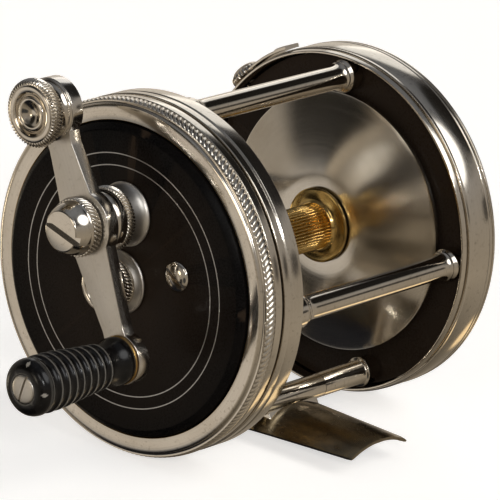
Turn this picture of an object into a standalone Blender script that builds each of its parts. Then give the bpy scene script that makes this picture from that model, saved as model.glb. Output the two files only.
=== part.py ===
"""Multiplying fishing reel: spool, gear train, crank, click and frame, as separate pieces.

The spool's axis runs along X, with the crank at +X. +Y points to the rod's tip and +Z up.
The origin is the middle of the foot's underside, where the reel sits on the rod.
Lengths in this file are in millimetres, and the helpers turn them into metres.
"""
import math

import bmesh
import bpy
from mathutils import Matrix, Vector

MM = 0.001

# Driving dimensions
RING_R = 26.0             # outer radius of both side rings
AXIS_Z = 22.1             # spool axis above the foot's seat
CRANK_RISE = 10.14        # crank axis above the spool axis
HEAD_FACE = 27.3          # outer face of the head plate, the crank's side
HEAD_BACK = 18.25         # inner face of the head ring
TAIL_LIP = -17.1          # front lip of the tail ring
TAIL_DISC = -19.4         # inner face of the tail plate
TAIL_BACK = -24.2         # back edge of the tail ring
TAIL_FACE = -24.8         # outer face of the tail plate
GAP = 0.3                 # clearance between neighbours

# Head side
HEAD_LIP = HEAD_FACE - 1.0      # front of the screw ring
HEAD_SPLIT = HEAD_FACE - 5.0    # where the screw ring meets the frame ring
BEZEL_BORE_R = 22.96            # the screw ring's lip laps the plate inside this
THREAD_R = 24.8                 # collar of the frame ring that the screw ring turns on
HEAD_PLATE_BACK = 24.4
HEAD_RIM_FRONT = 25.1           # front of the plate's clamped rim
HEAD_RIM_R = 24.7
INNER_PLATE_BACK = 19.8
INNER_PLATE_FRONT = 20.6
FLANGE_DEPTH = 1.25             # thickness of the frame ring's inner flange

# Tail side
TAIL_PLATE_R = 24.9
TAIL_BOSS_R = 20.0              # part of the tail plate that shows inside the bezel
TAIL_BEZEL = 0.9                # thickness of the tail ring's back bezel
RIM_BORE_R = 24.5               # middle and length of the latch screw's radial hole
RIM_BORE_LENGTH = 4.6
POCKET_FLOOR = -22.4            # bottom of the click's pocket
POCKET_R = 12.0

# Frame
PILLAR_CIRCLE = 22.62     # radius of the circle that the pillars stand on
PILLAR_R = 1.77
PILLAR_COLLAR_R = 2.44
FOOT_COLLAR_R = 2.2
PILLAR_ANGLES = {
    "pillar_top": 90.0,
    "pillar_front": 0.0,
    "pillar_rear": 180.0,
    "pillar_foot_front": -66.6,
    "pillar_foot_rear": -113.4,
}
SCREW_R = 0.8             # shank of the frame screws
SCREW_HOLE_R = 1.1
COLLAR_LENGTH = 2.9       # a pillar's collar, bead included

# Foot
FOOT_HALF_LENGTH = 27.3
FOOT_HALF_WIDTH_MIDDLE = 7.15
FOOT_HALF_WIDTH_END = 5.9
FOOT_THICK = 0.7
FOOT_ARCH_R = 12.5        # radius of the foot's underside across the rod
SEAT_HALF_WIDTH = 1.0     # the flat strip along the crest of the underside
SADDLE_HALF_LENGTH = 7.15
SADDLE_BORE_R = 1.5
SADDLE_DEPTH = 3.4        # from a foot pillar's axis into the foot's place
NECK_R = 1.2              # foot pillars are turned down inside their saddles

# Spool
SPOOL_MID = -0.58
FLANGE_R = 19.66
FLANGE_RIM_OUT = 17.67    # from the spool's middle to a flange's outer face at the rim
FLANGE_HUB_OUT = 14.6     # the same at the hub
FLANGE_THICK = 0.8
ARBOR_R = 3.46
AXLE_R = 2.0
PIVOT_R = 0.95
PIVOT_BORE_R = 1.25
PIVOT_SHOULDER = 18.9     # where the axle steps down to its pivots
ARBOR_HALF_LENGTH = 13.1
COLLAR_R = 5.6            # flared end of a brass collar
BUSH_R = 2.9
BUSH_FLANGE_R = 4.65
BUSH_NECK_R = 2.4
CAP_R = 3.8
CAP_BORE_R = 2.7
RATCHET_TEETH = 12
RATCHET_ROOT_R = 2.1
RATCHET_TIP_R = 2.6

# Gears: 40 and 10 teeth, four turns of the spool to one of the crank
GEAR_TEETH = 40
PINION_TEETH = 10
GEAR_MODULE = 2.0 * CRANK_RISE / (GEAR_TEETH + PINION_TEETH)
GEAR_BACK = 22.7
GEAR_FRONT = 23.9

# Crank
ARM_BACK = HEAD_FACE + 7.02
ARM_FRONT = HEAD_FACE + 9.1
ARM_ANGLE = 118.0         # direction from the crank axis to the counterweight
ARM_HUB_R = 4.95
SEAT = ARM_FRONT + GAP    # where the nut, the counterweight and the grip sit
POST_R = 3.4
POST_BORE_R = 2.5
POST_BACK = 24.7
SHAFT_R = 2.2
SHAFT_END_R = 0.8
STUD_R = 1.7
NUT_R = 4.26
NUT_FACE_R = 2.98
WEIGHT_R = 4.9            # knurled bead of the counterweight
WEIGHT_FACE_R = 4.1
WEIGHT_WAIST_R = 4.1
WEIGHT_PAD_R = 4.5        # pads at the arm's ends
GRIP_PAD_R = 3.6
ARM_NECKS = ((11.6, 2.33), (-15.0, 1.95))   # along and half across the arm
RIVET_R = 1.1             # stems of the counterweight and the grip's spindle
SPINDLE_HEAD_R = 2.0
GRIP_R = 4.13              # widest part of the grip
GRIP_NECK_R = 3.1
GRIP_FOOT_R = 3.45         # bulb beside the arm
WEIGHT_REACH = 16.69
GRIP_REACH = 19.3
GRIP_END = HEAD_FACE + 28.4

# Bridge over the main gear: its posts' Y and Z from the crank axis
BRIDGE_POSTS = {"front": (10.3, -6.3), "rear": (-11.44, 5.98)}
BRIDGE_BACK = 21.2
BRIDGE_FRONT = 22.0
BRIDGE_END_R = 2.3
BRIDGE_POST_R = 1.8
BRIDGE_HOLE_R = 1.2
BRIDGE_SCREW_R = 2.16     # head of the screws in the plate

# Take-apart latch on the tail ring
LATCH_X = -20.65
LATCH_ANGLE = 142.3
LATCH_ROOT_ANGLE = 135.6
LATCH_TIP_ANGLE = 118.3
LATCH_LEAF_BACK = -21.3
LATCH_LEAF_FRONT = -18.2
LATCH_HEAD_R = 2.74
LATCH_SCREW_END = 23.2    # inner end of the screw, from the spool's axis

# Click
CLICK_REACH = 9.8         # click button from the spool axis, towards -Y
CLICK_TRAVEL = 1.6
CLICK_BUTTON_R = 1.9
CLICK_SLOT_HALF = 1.0
PAWL_BACK = -21.3
PAWL_FRONT = -20.5
PAWL_TIP = 4.4            # the pawl's tip, from the spool's axis
SPRING_LOOP = 9.6         # middle of the hairpin's loop, from the button
SPRING_LOOP_R = 1.7
SPRING_TIP = 4.6
WIRE_R = 0.2

BIG_STEPS = 32
MID_STEPS = 16
SMALL_STEPS = 10

SIDEWAYS = (math.pi / 2, 0.0, math.pi / 2)   # local X, Y, Z along the world's Y, Z, X


def clear_scene():
    for item in list(bpy.data.objects):
        bpy.data.objects.remove(item, do_unlink=True)


def new_collection(name):
    group = bpy.data.collections.new(name)
    bpy.context.scene.collection.children.link(group)
    return group


def material(name, colour, roughness, metallic):
    mat = bpy.data.materials.new(name)
    mat.use_nodes = True
    shader = mat.node_tree.nodes["Principled BSDF"]
    shader.inputs["Base Color"].default_value = (*colour, 1.0)
    shader.inputs["Roughness"].default_value = roughness
    shader.inputs["Metallic"].default_value = metallic
    return mat


def polar(radius, degrees):
    """Y and Z of a point at an angle from +Y towards +Z."""
    angle = math.radians(degrees)
    return radius * math.cos(angle), radius * math.sin(angle)


def on_spool(radius=0.0, degrees=0.0):
    """World Y and Z of a point about the spool's axis."""
    y, z = polar(radius, degrees)
    return y, z + AXIS_Z


def on_crank(radius=0.0, degrees=0.0):
    """World Y and Z of a point about the crank's axis."""
    y, z = polar(radius, degrees)
    return y, z + AXIS_Z + CRANK_RISE


def add_object(name, data, group, mat=None, centre=(0.0, 0.0), x=0.0):
    """An object whose local Z lies along world X, on the axis through centre (Y, Z)."""
    obj = bpy.data.objects.new(name, data)
    obj.location = (x * MM, centre[0] * MM, centre[1] * MM)
    obj.rotation_euler = SIDEWAYS
    if mat is not None:
        data.materials.append(mat)
    group.objects.link(obj)
    return obj


def turned(name, profile, mat, centre=None, steps=BIG_STEPS, ring=False):
    """A turned piece: (radius, X) points from the +X end, down the outer side, to the -X end."""
    mesh = bpy.data.meshes.new(name)
    points = [(radius * MM, 0.0, x * MM) for radius, x in profile]
    edges = [(i, i + 1) for i in range(len(points) - 1)]
    if ring:
        edges.append((len(points) - 1, 0))
    mesh.from_pydata(points, edges, [])
    obj = add_object(name, mesh, parts, mat, on_spool() if centre is None else centre)
    screw = obj.modifiers.new("turn", "SCREW")
    screw.steps = steps
    screw.render_steps = steps
    screw.use_merge_vertices = True
    screw.merge_threshold = 0.00001
    screw.use_smooth_shade = True
    return obj


def drill(obj, name, holes, x_low, x_high, steps=SMALL_STEPS):
    """Holes along X through a piece: each is (radius, (Y, Z))."""
    tool = bmesh.new()
    for radius, centre in holes:
        place = Matrix.Translation((centre[0] * MM, centre[1] * MM, 0.5 * (x_low + x_high) * MM))
        bmesh.ops.create_cone(tool, cap_ends=True, segments=steps, radius1=radius * MM,
                              radius2=radius * MM, depth=(x_high - x_low) * MM, matrix=place)
    cut(obj, name, tool, SIDEWAYS)


def cut_block(obj, name, low, high, turn=0.0, centre=(0.0, 0.0)):
    """A block cut from a piece: corners are (X, Y, Z) about centre, turned about X."""
    middle = [0.5 * (a + b) for a, b in zip(low, high)]
    size = [b - a for a, b in zip(low, high)]
    place = Matrix.Translation((0.0, centre[0] * MM, centre[1] * MM))
    place @= Matrix.Rotation(math.radians(turn), 4, "X")
    place @= Matrix.Translation([v * MM for v in middle])
    place @= Matrix.Diagonal([v * MM for v in size] + [1.0])
    tool = bmesh.new()
    bmesh.ops.create_cube(tool, size=1.0, matrix=place)
    cut(obj, name, tool)


def cut(obj, name, tool, rotation=(0.0, 0.0, 0.0)):
    mesh = bpy.data.meshes.new(name)
    tool.to_mesh(mesh)
    tool.free()
    cutter = bpy.data.objects.new(name, mesh)
    cutter.rotation_euler = rotation
    subtract(obj, cutter)


def subtract(obj, cutter):
    if cutter.name not in cutters.objects:
        cutters.objects.link(cutter)
    cutter.hide_render = True
    cutter.display_type = "WIRE"
    boolean = obj.modifiers.new(cutter.name, "BOOLEAN")
    boolean.operation = "DIFFERENCE"
    boolean.object = cutter


def plate(name, outlines, mat, x_back, x_front, centre):
    """A flat piece across X, from closed outlines of (Y, Z) points about centre."""
    curve = bpy.data.curves.new(name + "_outline", "CURVE")
    curve.dimensions = "2D"
    curve.fill_mode = "BOTH"
    curve.extrude = 0.5 * (x_front - x_back) * MM
    for outline in outlines:
        spline = curve.splines.new("POLY")
        spline.points.add(len(outline) - 1)
        for point, (y, z) in zip(spline.points, outline):
            point.co = (y * MM, z * MM, 0.0, 1.0)
        spline.use_cyclic_u = True
    guide = add_object(name + "_guide", curve, parts, None, centre, 0.5 * (x_back + x_front))
    bpy.context.view_layer.update()
    seen = guide.evaluated_get(bpy.context.evaluated_depsgraph_get())
    mesh = bpy.data.meshes.new_from_object(seen)
    mesh.name = name
    welded = bmesh.new()
    welded.from_mesh(mesh)
    bmesh.ops.remove_doubles(welded, verts=welded.verts, dist=0.000001)
    welded.to_mesh(mesh)
    welded.free()
    mesh.materials.clear()
    mesh.materials.append(mat)
    obj = bpy.data.objects.new(name, mesh)
    obj.matrix_world = guide.matrix_world
    parts.objects.link(obj)
    bpy.data.objects.remove(guide, do_unlink=True)
    bpy.data.curves.remove(curve)
    return obj


def arc(centre, radius, start, end, count):
    """Points on an arc, both ends included, angles in degrees."""
    points = []
    for i in range(count):
        y, z = polar(radius, start + (end - start) * i / (count - 1))
        points.append((centre[0] + y, centre[1] + z))
    return points


def circle(radius, count, centre=(0.0, 0.0)):
    return arc(centre, radius, 0.0, 360.0 * (count - 1) / count, count)


def gear_outline(teeth):
    """Straight-sided teeth with running clearance; a tooth is centred on +Y."""
    pitch_r = 0.5 * GEAR_MODULE * teeth
    root_r = pitch_r - GEAR_MODULE
    tip_r = pitch_r + 0.7 * GEAR_MODULE
    corners = ((-0.26, root_r), (-0.1, tip_r), (0.1, tip_r), (0.26, root_r))
    pitch = 360.0 / teeth
    return [polar(radius, (tooth + share) * pitch)
            for tooth in range(teeth) for share, radius in corners]


def ratchet_outline(teeth, root_r, tip_r):
    points = []
    for tooth in range(teeth):
        points.append(polar(root_r, 360.0 * tooth / teeth))
        points.append(polar(tip_r, 360.0 * (tooth + 0.5) / teeth))
    return points


# ---- frame -------------------------------------------------------------------------------

def make_knurled_screw_ring():
    """Take-apart ring that clamps the head plate; its lip laps the plate's edge."""
    lip = HEAD_LIP
    split = HEAD_SPLIT + 0.5 * GAP
    bore = THREAD_R + GAP
    turned("knurled_screw_ring", [
        (BEZEL_BORE_R, lip), (RING_R - 1.3, lip), (RING_R - 0.3, lip - 0.25),
        (RING_R, lip - 0.75), (RING_R, lip - 2.3), (RING_R - 0.25, lip - 2.5),
        (RING_R - 0.1, split), (bore, split), (bore, lip - 0.9), (BEZEL_BORE_R, lip - 0.9)],
        nickel, ring=True)


def make_head_frame_ring():
    """Ring with an inner flange that carries the pillars and a collar that takes the screw ring."""
    front = HEAD_SPLIT - 0.5 * GAP
    top = HEAD_PLATE_BACK - GAP
    floor = HEAD_BACK + FLANGE_DEPTH
    wall_r = THREAD_R - 0.8
    bore_r = FLANGE_R - 0.46
    ring = turned("head_frame_ring", [
        (wall_r, top), (THREAD_R, top), (THREAD_R, front), (RING_R, front),
        (RING_R, HEAD_BACK + 2.6), (RING_R - 0.25, HEAD_BACK + 2.45), (RING_R, HEAD_BACK + 2.3),
        (RING_R, HEAD_BACK + 0.3), (RING_R - 0.3, HEAD_BACK), (bore_r, HEAD_BACK),
        (bore_r, floor), (wall_r, floor)], nickel, ring=True)
    holes = [(SCREW_HOLE_R, on_spool(PILLAR_CIRCLE, a)) for a in PILLAR_ANGLES.values()]
    drill(ring, "head_ring_holes", holes, HEAD_BACK - 1.0, HEAD_BACK + 2.0, steps=8)


def make_head_plate():
    """Hard-rubber plate, bored for the spool bearing, the crank post and the bridge screws."""
    step_r = BEZEL_BORE_R - 0.36
    body = turned("head_plate", [
        (BUSH_R + GAP, HEAD_FACE), (step_r - 0.7, HEAD_FACE), (step_r, HEAD_FACE - 0.45),
        (step_r, HEAD_RIM_FRONT), (HEAD_RIM_R, HEAD_RIM_FRONT), (HEAD_RIM_R, HEAD_PLATE_BACK),
        (BUSH_R + GAP, HEAD_PLATE_BACK)], hard_rubber, ring=True)
    y, z = on_crank()
    holes = [(POST_R + GAP, (y, z))]
    holes += [(BRIDGE_HOLE_R, (y + dy, z + dz)) for dy, dz in BRIDGE_POSTS.values()]
    drill(body, "head_plate_holes", holes, HEAD_PLATE_BACK - 1.0, HEAD_FACE + 1.0, steps=MID_STEPS)


def make_inner_head_plate():
    """Metal disc between the gears and the spool."""
    rim_r = PILLAR_CIRCLE - 1.72
    turned("inner_head_plate", [
        (BUSH_R, INNER_PLATE_FRONT), (rim_r, INNER_PLATE_FRONT), (rim_r, INNER_PLATE_BACK),
        (BUSH_R, INNER_PLATE_BACK)], nickel, ring=True)


def make_tail_ring():
    """Band around the tail plate, with a back bezel that the tail screws pass through."""
    wall_r = TAIL_PLATE_R + GAP
    bore_r = TAIL_BOSS_R + GAP
    ring = turned("tail_ring", [
        (wall_r, TAIL_LIP), (RING_R - 0.3, TAIL_LIP), (RING_R, TAIL_LIP - 0.5),
        (RING_R, TAIL_BACK + 1.1), (RING_R - 0.25, TAIL_BACK + 0.95), (RING_R, TAIL_BACK + 0.8),
        (RING_R, TAIL_BACK + 0.3), (RING_R - 0.3, TAIL_BACK), (bore_r, TAIL_BACK),
        (bore_r, TAIL_BACK + TAIL_BEZEL), (wall_r, TAIL_BACK + TAIL_BEZEL)], nickel, ring=True)
    holes = [(SCREW_HOLE_R, on_spool(PILLAR_CIRCLE, a)) for a in PILLAR_ANGLES.values()]
    drill(ring, "tail_ring_holes", holes, TAIL_BACK - 1.0, TAIL_BACK + 1.5, steps=8)
    radial_hole(ring, "latch_ring_hole")


def radial_hole(obj, name):
    """The hole that the latch screw runs through, across the rim."""
    y, z = on_spool(RIM_BORE_R, LATCH_ANGLE)
    place = Matrix.Translation((LATCH_X * MM, y * MM, z * MM))
    place @= Matrix.Rotation(math.radians(LATCH_ANGLE - 90.0), 4, "X")
    tool = bmesh.new()
    bmesh.ops.create_cone(tool, cap_ends=True, segments=8, radius1=SCREW_HOLE_R * MM,
                          radius2=SCREW_HOLE_R * MM, depth=RIM_BORE_LENGTH * MM, matrix=place)
    cut(obj, name, tool)


def make_tail_plate():
    """Hard-rubber plate with a turned pocket for the click and a slot for its button."""
    shoulder = TAIL_BACK + TAIL_BEZEL + GAP
    bore_r = BUSH_R + GAP
    body = turned("tail_plate", [
        (POCKET_R, TAIL_DISC), (TAIL_PLATE_R, TAIL_DISC), (TAIL_PLATE_R, shoulder),
        (TAIL_BOSS_R, shoulder), (TAIL_BOSS_R, TAIL_FACE + 0.4), (TAIL_BOSS_R - 0.4, TAIL_FACE),
        (bore_r, TAIL_FACE), (bore_r, POCKET_FLOOR), (POCKET_R, POCKET_FLOOR)],
        hard_rubber, ring=True)
    holes = [(SCREW_HOLE_R, on_spool(PILLAR_CIRCLE, a)) for a in PILLAR_ANGLES.values()]
    drill(body, "tail_plate_holes", holes, TAIL_BACK, TAIL_DISC + 1.0, steps=8)
    radial_hole(body, "latch_plate_hole")
    near = -(CLICK_REACH - CLICK_TRAVEL - CLICK_SLOT_HALF)
    far = -(CLICK_REACH + CLICK_SLOT_HALF)
    cut_block(body, "click_slot", (TAIL_FACE - 1.0, far, -CLICK_SLOT_HALF),
              (POCKET_FLOOR + 1.0, near, CLICK_SLOT_HALF), centre=on_spool())


def make_pillars():
    """Five pillars with a bead and a collar at each end, bored for their screws."""
    head_end = HEAD_BACK - GAP
    tail_end = TAIL_DISC + GAP
    depth = COLLAR_LENGTH
    bore_head = [(0.0, head_end - depth), (SCREW_HOLE_R, head_end - depth),
                 (SCREW_HOLE_R, head_end)]
    bore_tail = [(SCREW_HOLE_R, tail_end), (SCREW_HOLE_R, tail_end + depth),
                 (0.0, tail_end + depth)]
    for name, angle in PILLAR_ANGLES.items():
        waist = []
        wide = FOOT_COLLAR_R if "foot" in name else PILLAR_COLLAR_R
        collar = [(wide, 0.0), (wide, depth - 0.3), (wide - 0.3, depth), (PILLAR_R, depth + 0.2)]
        upper = [(r, head_end - d) for r, d in collar]
        lower = [(r, tail_end + d) for r, d in reversed(collar)]
        if "foot" in name:
            waist = [(PILLAR_R, SADDLE_HALF_LENGTH + GAP), (NECK_R, SADDLE_HALF_LENGTH + GAP),
                     (NECK_R, -SADDLE_HALF_LENGTH - GAP), (PILLAR_R, -SADDLE_HALF_LENGTH - GAP)]
        place = on_spool(PILLAR_CIRCLE, angle)
        pillar = turned(name, bore_head + upper + waist + lower + bore_tail, nickel, place,
                        steps=SMALL_STEPS)
        if waist:
            subtract(pillar, foot_envelope)


def make_frame_screws():
    """Screws through both rings into the pillars' ends."""
    bite = COLLAR_LENGTH - GAP
    seat = TAIL_BACK - 0.25
    floor = HEAD_BACK + FLANGE_DEPTH + GAP
    head_r = SCREW_R + 0.35
    for number, angle in enumerate(PILLAR_ANGLES.values(), start=1):
        place = on_spool(PILLAR_CIRCLE, angle)
        turned(f"tail_screw_{number}", [
            (0.0, TAIL_DISC + bite), (SCREW_R, TAIL_DISC + bite), (SCREW_R, seat),
            (2.0 * SCREW_R, seat), (2.0 * SCREW_R - 0.3, seat - 0.5), (0.0, seat - 0.6)],
            nickel, place, steps=SMALL_STEPS)
        turned(f"head_ring_screw_{number}", [
            (0.0, floor + 0.8), (head_r, floor + 0.8), (head_r, floor), (SCREW_R, floor),
            (SCREW_R, HEAD_BACK - bite), (0.0, HEAD_BACK - bite)], nickel, place,
            steps=SMALL_STEPS)


# ---- foot --------------------------------------------------------------------------------

def make_foot_envelope():
    """Cutter that keeps saddles and pillars clear of the arched foot."""
    radius = FOOT_ARCH_R + FOOT_THICK + GAP
    tool = bmesh.new()
    drop = math.sqrt(FOOT_ARCH_R ** 2 - SEAT_HALF_WIDTH ** 2)
    place = Matrix.Translation((0.0, 0.0, -drop * MM)) @ Matrix.Rotation(math.pi / 2, 4, "X")
    bmesh.ops.create_cone(tool, cap_ends=True, segments=48, radius1=radius * MM,
                          radius2=radius * MM, depth=40.0 * MM, matrix=place)
    mesh = bpy.data.meshes.new("foot_envelope")
    tool.to_mesh(mesh)
    tool.free()
    return bpy.data.objects.new("foot_envelope", mesh)


def make_foot():
    """Arched sheet, tapered to both ends, with a flat strip along the crest of its underside."""
    strips = 7
    sheet = bmesh.new()
    bmesh.ops.create_grid(sheet, x_segments=strips, y_segments=8, size=1.0)
    inner = 1.0 / strips
    middle = math.sqrt(FOOT_ARCH_R ** 2 - SEAT_HALF_WIDTH ** 2)
    for vert in sheet.verts:
        across, along = vert.co.x, vert.co.y
        taper = max(0.0, (abs(along) - 0.25) / 0.75)
        half = FOOT_HALF_WIDTH_MIDDLE + (FOOT_HALF_WIDTH_END - FOOT_HALF_WIDTH_MIDDLE) * taper
        share = (abs(across) - inner) / (1.0 - inner)
        x = math.copysign(SEAT_HALF_WIDTH + (half - SEAT_HALF_WIDTH) * share, across)
        z = math.sqrt(FOOT_ARCH_R ** 2 - x ** 2) - middle
        vert.co = Vector((x * MM, along * FOOT_HALF_LENGTH * MM, z * MM))
    mesh = bpy.data.meshes.new("foot")
    sheet.to_mesh(mesh)
    sheet.free()
    mesh.materials.append(nickel)
    foot = bpy.data.objects.new("foot", mesh)
    parts.objects.link(foot)
    solid = foot.modifiers.new("sheet", "SOLIDIFY")
    solid.thickness = FOOT_THICK * MM
    solid.offset = 1.0
    solid.use_even_offset = True


def make_saddles():
    """Sleeves that hold the two foot pillars and stand on the foot."""
    outline = arc((0.0, 0.0), PILLAR_R, 0.0, 180.0, 9)
    outline += [(-PILLAR_R, -SADDLE_DEPTH), (PILLAR_R, -SADDLE_DEPTH)]
    for side in ("front", "rear"):
        place = on_spool(PILLAR_CIRCLE, PILLAR_ANGLES[f"pillar_foot_{side}"])
        saddle = plate(f"foot_saddle_{side}", [outline, circle(SADDLE_BORE_R, SMALL_STEPS)], nickel,
                       -SADDLE_HALF_LENGTH, SADDLE_HALF_LENGTH, place)
        subtract(saddle, foot_envelope)


# ---- bearings and bridge -----------------------------------------------------------------

def make_bearings():
    """Bearing bushes for the spool's pivots and the post that carries the crank."""
    head = HEAD_FACE + GAP
    tail = TAIL_FACE - GAP
    rim = [(BUSH_NECK_R, 2.4), (BUSH_NECK_R, 0.7), (BUSH_FLANGE_R - 0.35, 0.7),
           (BUSH_FLANGE_R, 0.4), (BUSH_FLANGE_R, 0.0), (BUSH_R, 0.0)]
    turned("head_bushing", [(PIVOT_BORE_R, head + 2.4)] + [(r, head + d) for r, d in rim]
           + [(BUSH_R, POST_BACK), (PIVOT_BORE_R, POST_BACK)], nickel, steps=MID_STEPS, ring=True)
    inner = POCKET_FLOOR + 0.5
    turned("tail_bushing", [(PIVOT_BORE_R, inner), (BUSH_R, inner)]
           + [(r, tail - d) for r, d in reversed(rim)] + [(PIVOT_BORE_R, tail - 2.4)],
           nickel, steps=MID_STEPS, ring=True)
    top = ARM_BACK - 0.42
    bead = HEAD_FACE + 3.6
    turned("crank_post", [
        (POST_BORE_R, top), (POST_R + 0.2, top), (POST_R + 0.1, top - 1.1), (4.2, bead + 1.1),
        (4.6, bead + 0.9), (4.6, bead), (4.35, bead - 0.2), (4.45, head + 1.6), (4.7, head + 1.0),
        (4.7, head), (POST_R, head), (POST_R, POST_BACK), (POST_BORE_R, POST_BACK)],
        nickel, on_crank(), steps=MID_STEPS, ring=True)


def make_bridge():
    """Bar under the main gear, hung on two posts that are screwed through the head plate."""
    y, z = on_crank()
    front, rear = BRIDGE_POSTS["front"], BRIDGE_POSTS["rear"]
    lie = math.degrees(math.atan2(front[1] - rear[1], front[0] - rear[0]))
    outline = arc(front, BRIDGE_END_R, lie - 90.0, lie + 90.0, 5)
    outline += arc(rear, BRIDGE_END_R, lie + 90.0, lie + 270.0, 5)
    plate("gear_bridge", [outline, circle(SHAFT_END_R + GAP, SMALL_STEPS)], nickel, BRIDGE_BACK,
          BRIDGE_FRONT, (y, z))
    post_top, post_foot = HEAD_PLATE_BACK - GAP, BRIDGE_FRONT + GAP
    shank_r = BRIDGE_HOLE_R - GAP
    for name, (dy, dz) in BRIDGE_POSTS.items():
        place = (y + dy, z + dz)
        turned(f"bridge_post_{name}", [
            (BRIDGE_HOLE_R, post_top), (BRIDGE_POST_R, post_top), (BRIDGE_POST_R, post_foot),
            (BRIDGE_HOLE_R, post_foot)], nickel, place, steps=SMALL_STEPS, ring=True)
        screw = turned(f"bridge_screw_{name}", [
            (0.0, HEAD_FACE + 1.0), (1.3, HEAD_FACE + 0.85), (BRIDGE_SCREW_R, HEAD_FACE + 0.45),
            (BRIDGE_SCREW_R, HEAD_FACE + GAP), (shank_r, HEAD_FACE + GAP),
            (shank_r, post_foot + 0.4), (0.0, post_foot + 0.4)], nickel, place, steps=SMALL_STEPS)
        cut_block(screw, f"bridge_slot_{name}", (HEAD_FACE + 0.55, -3.0, -0.25),
                  (HEAD_FACE + 2.0, 3.0, 0.25), turn=-50.0, centre=place)


# ---- spool -------------------------------------------------------------------------------

def make_spool():
    """Axle, brass arbor and collars, and two dished flanges."""
    head_tip, tail_tip = HEAD_FACE + 2.5, TAIL_FACE - 2.4
    shoulder = PIVOT_SHOULDER
    turned("spool_axle", [
        (0.0, head_tip), (PIVOT_R, head_tip), (PIVOT_R, shoulder), (AXLE_R, shoulder),
        (AXLE_R, -shoulder), (PIVOT_R, -shoulder), (PIVOT_R, tail_tip), (0.0, tail_tip)],
        steel, steps=SMALL_STEPS)
    bore = AXLE_R + GAP
    arbor_head, arbor_tail = SPOOL_MID + ARBOR_HALF_LENGTH, SPOOL_MID - ARBOR_HALF_LENGTH
    turned("spool_arbor", [
        (bore, arbor_head), (ARBOR_R, arbor_head), (ARBOR_R, arbor_tail), (bore, arbor_tail)],
        brass, steps=MID_STEPS, ring=True)
    inner, outer = ARBOR_HALF_LENGTH + GAP, FLANGE_HUB_OUT - GAP
    collar = [(bore, outer), (COLLAR_R, outer), (COLLAR_R, outer - 0.3), (COLLAR_R - 1.3, inner + 0.4),
              (ARBOR_R + 0.44, inner), (bore, inner)]
    for side, sign in (("head", 1.0), ("tail", -1.0)):
        hub, rim = FLANGE_HUB_OUT, FLANGE_RIM_OUT
        flange = [(bore, hub + FLANGE_THICK)]
        flange += dish(hub + FLANGE_THICK, rim + FLANGE_THICK)
        flange += reversed(dish(hub, rim))
        flange += [(bore, hub)]
        for name, profile, mat, steps in ((f"arbor_collar_{side}", collar, brass, MID_STEPS),
                                          (f"spool_flange_{side}", flange, nickel, BIG_STEPS)):
            placed = [(radius, SPOOL_MID + sign * x) for radius, x in profile]
            if sign < 0.0:
                placed.reverse()
            turned(name, placed, mat, steps=steps, ring=True)


def dish(hub, rim):
    """One face of a flange, bowed like a trumpet from the hub to the rim."""
    start, count = COLLAR_R + GAP, 5
    points = []
    for i in range(count):
        share = i / (count - 1)
        points.append((start + (FLANGE_R - start) * share, hub + (rim - hub) * share ** 1.35))
    return points


def make_gears():
    """Main gear on the crank's shaft and the pinion on the spool's axle, in mesh."""
    plate("main_gear", [gear_outline(GEAR_TEETH), circle(SHAFT_R + GAP, MID_STEPS)], brass,
          GEAR_BACK, GEAR_FRONT, on_crank())
    hole = circle(PIVOT_R + 0.15, SMALL_STEPS)
    plate("pinion", [gear_outline(PINION_TEETH), hole], steel, GEAR_BACK - 0.4, GEAR_FRONT + GAP,
          on_spool())
    teeth = ratchet_outline(RATCHET_TEETH, RATCHET_ROOT_R, RATCHET_TIP_R)
    plate("click_ratchet", [teeth, hole], steel, PAWL_BACK - 0.1, PAWL_FRONT + 0.1, on_spool())


# ---- crank -------------------------------------------------------------------------------

def arm_outline():
    """Crank arm about the crank's axis: a round hub, with a round pad at each end."""
    weight_pad = arc((WEIGHT_REACH, 0.0), WEIGHT_PAD_R, 0.0, 140.0, 8)
    hub = arc((0.0, 0.0), ARM_HUB_R, 38.0, 141.0, 7)
    grip_pad = arc((-GRIP_REACH, 0.0), GRIP_PAD_R, 35.0, 180.0, 8)
    side = weight_pad + [ARM_NECKS[0]] + hub + [ARM_NECKS[1]] + grip_pad
    other = [(s, -t) for s, t in reversed(side[1:-1])]
    turn = math.radians(ARM_ANGLE)
    return [(s * math.cos(turn) - t * math.sin(turn), s * math.sin(turn) + t * math.cos(turn))
            for s, t in side + other]


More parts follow.
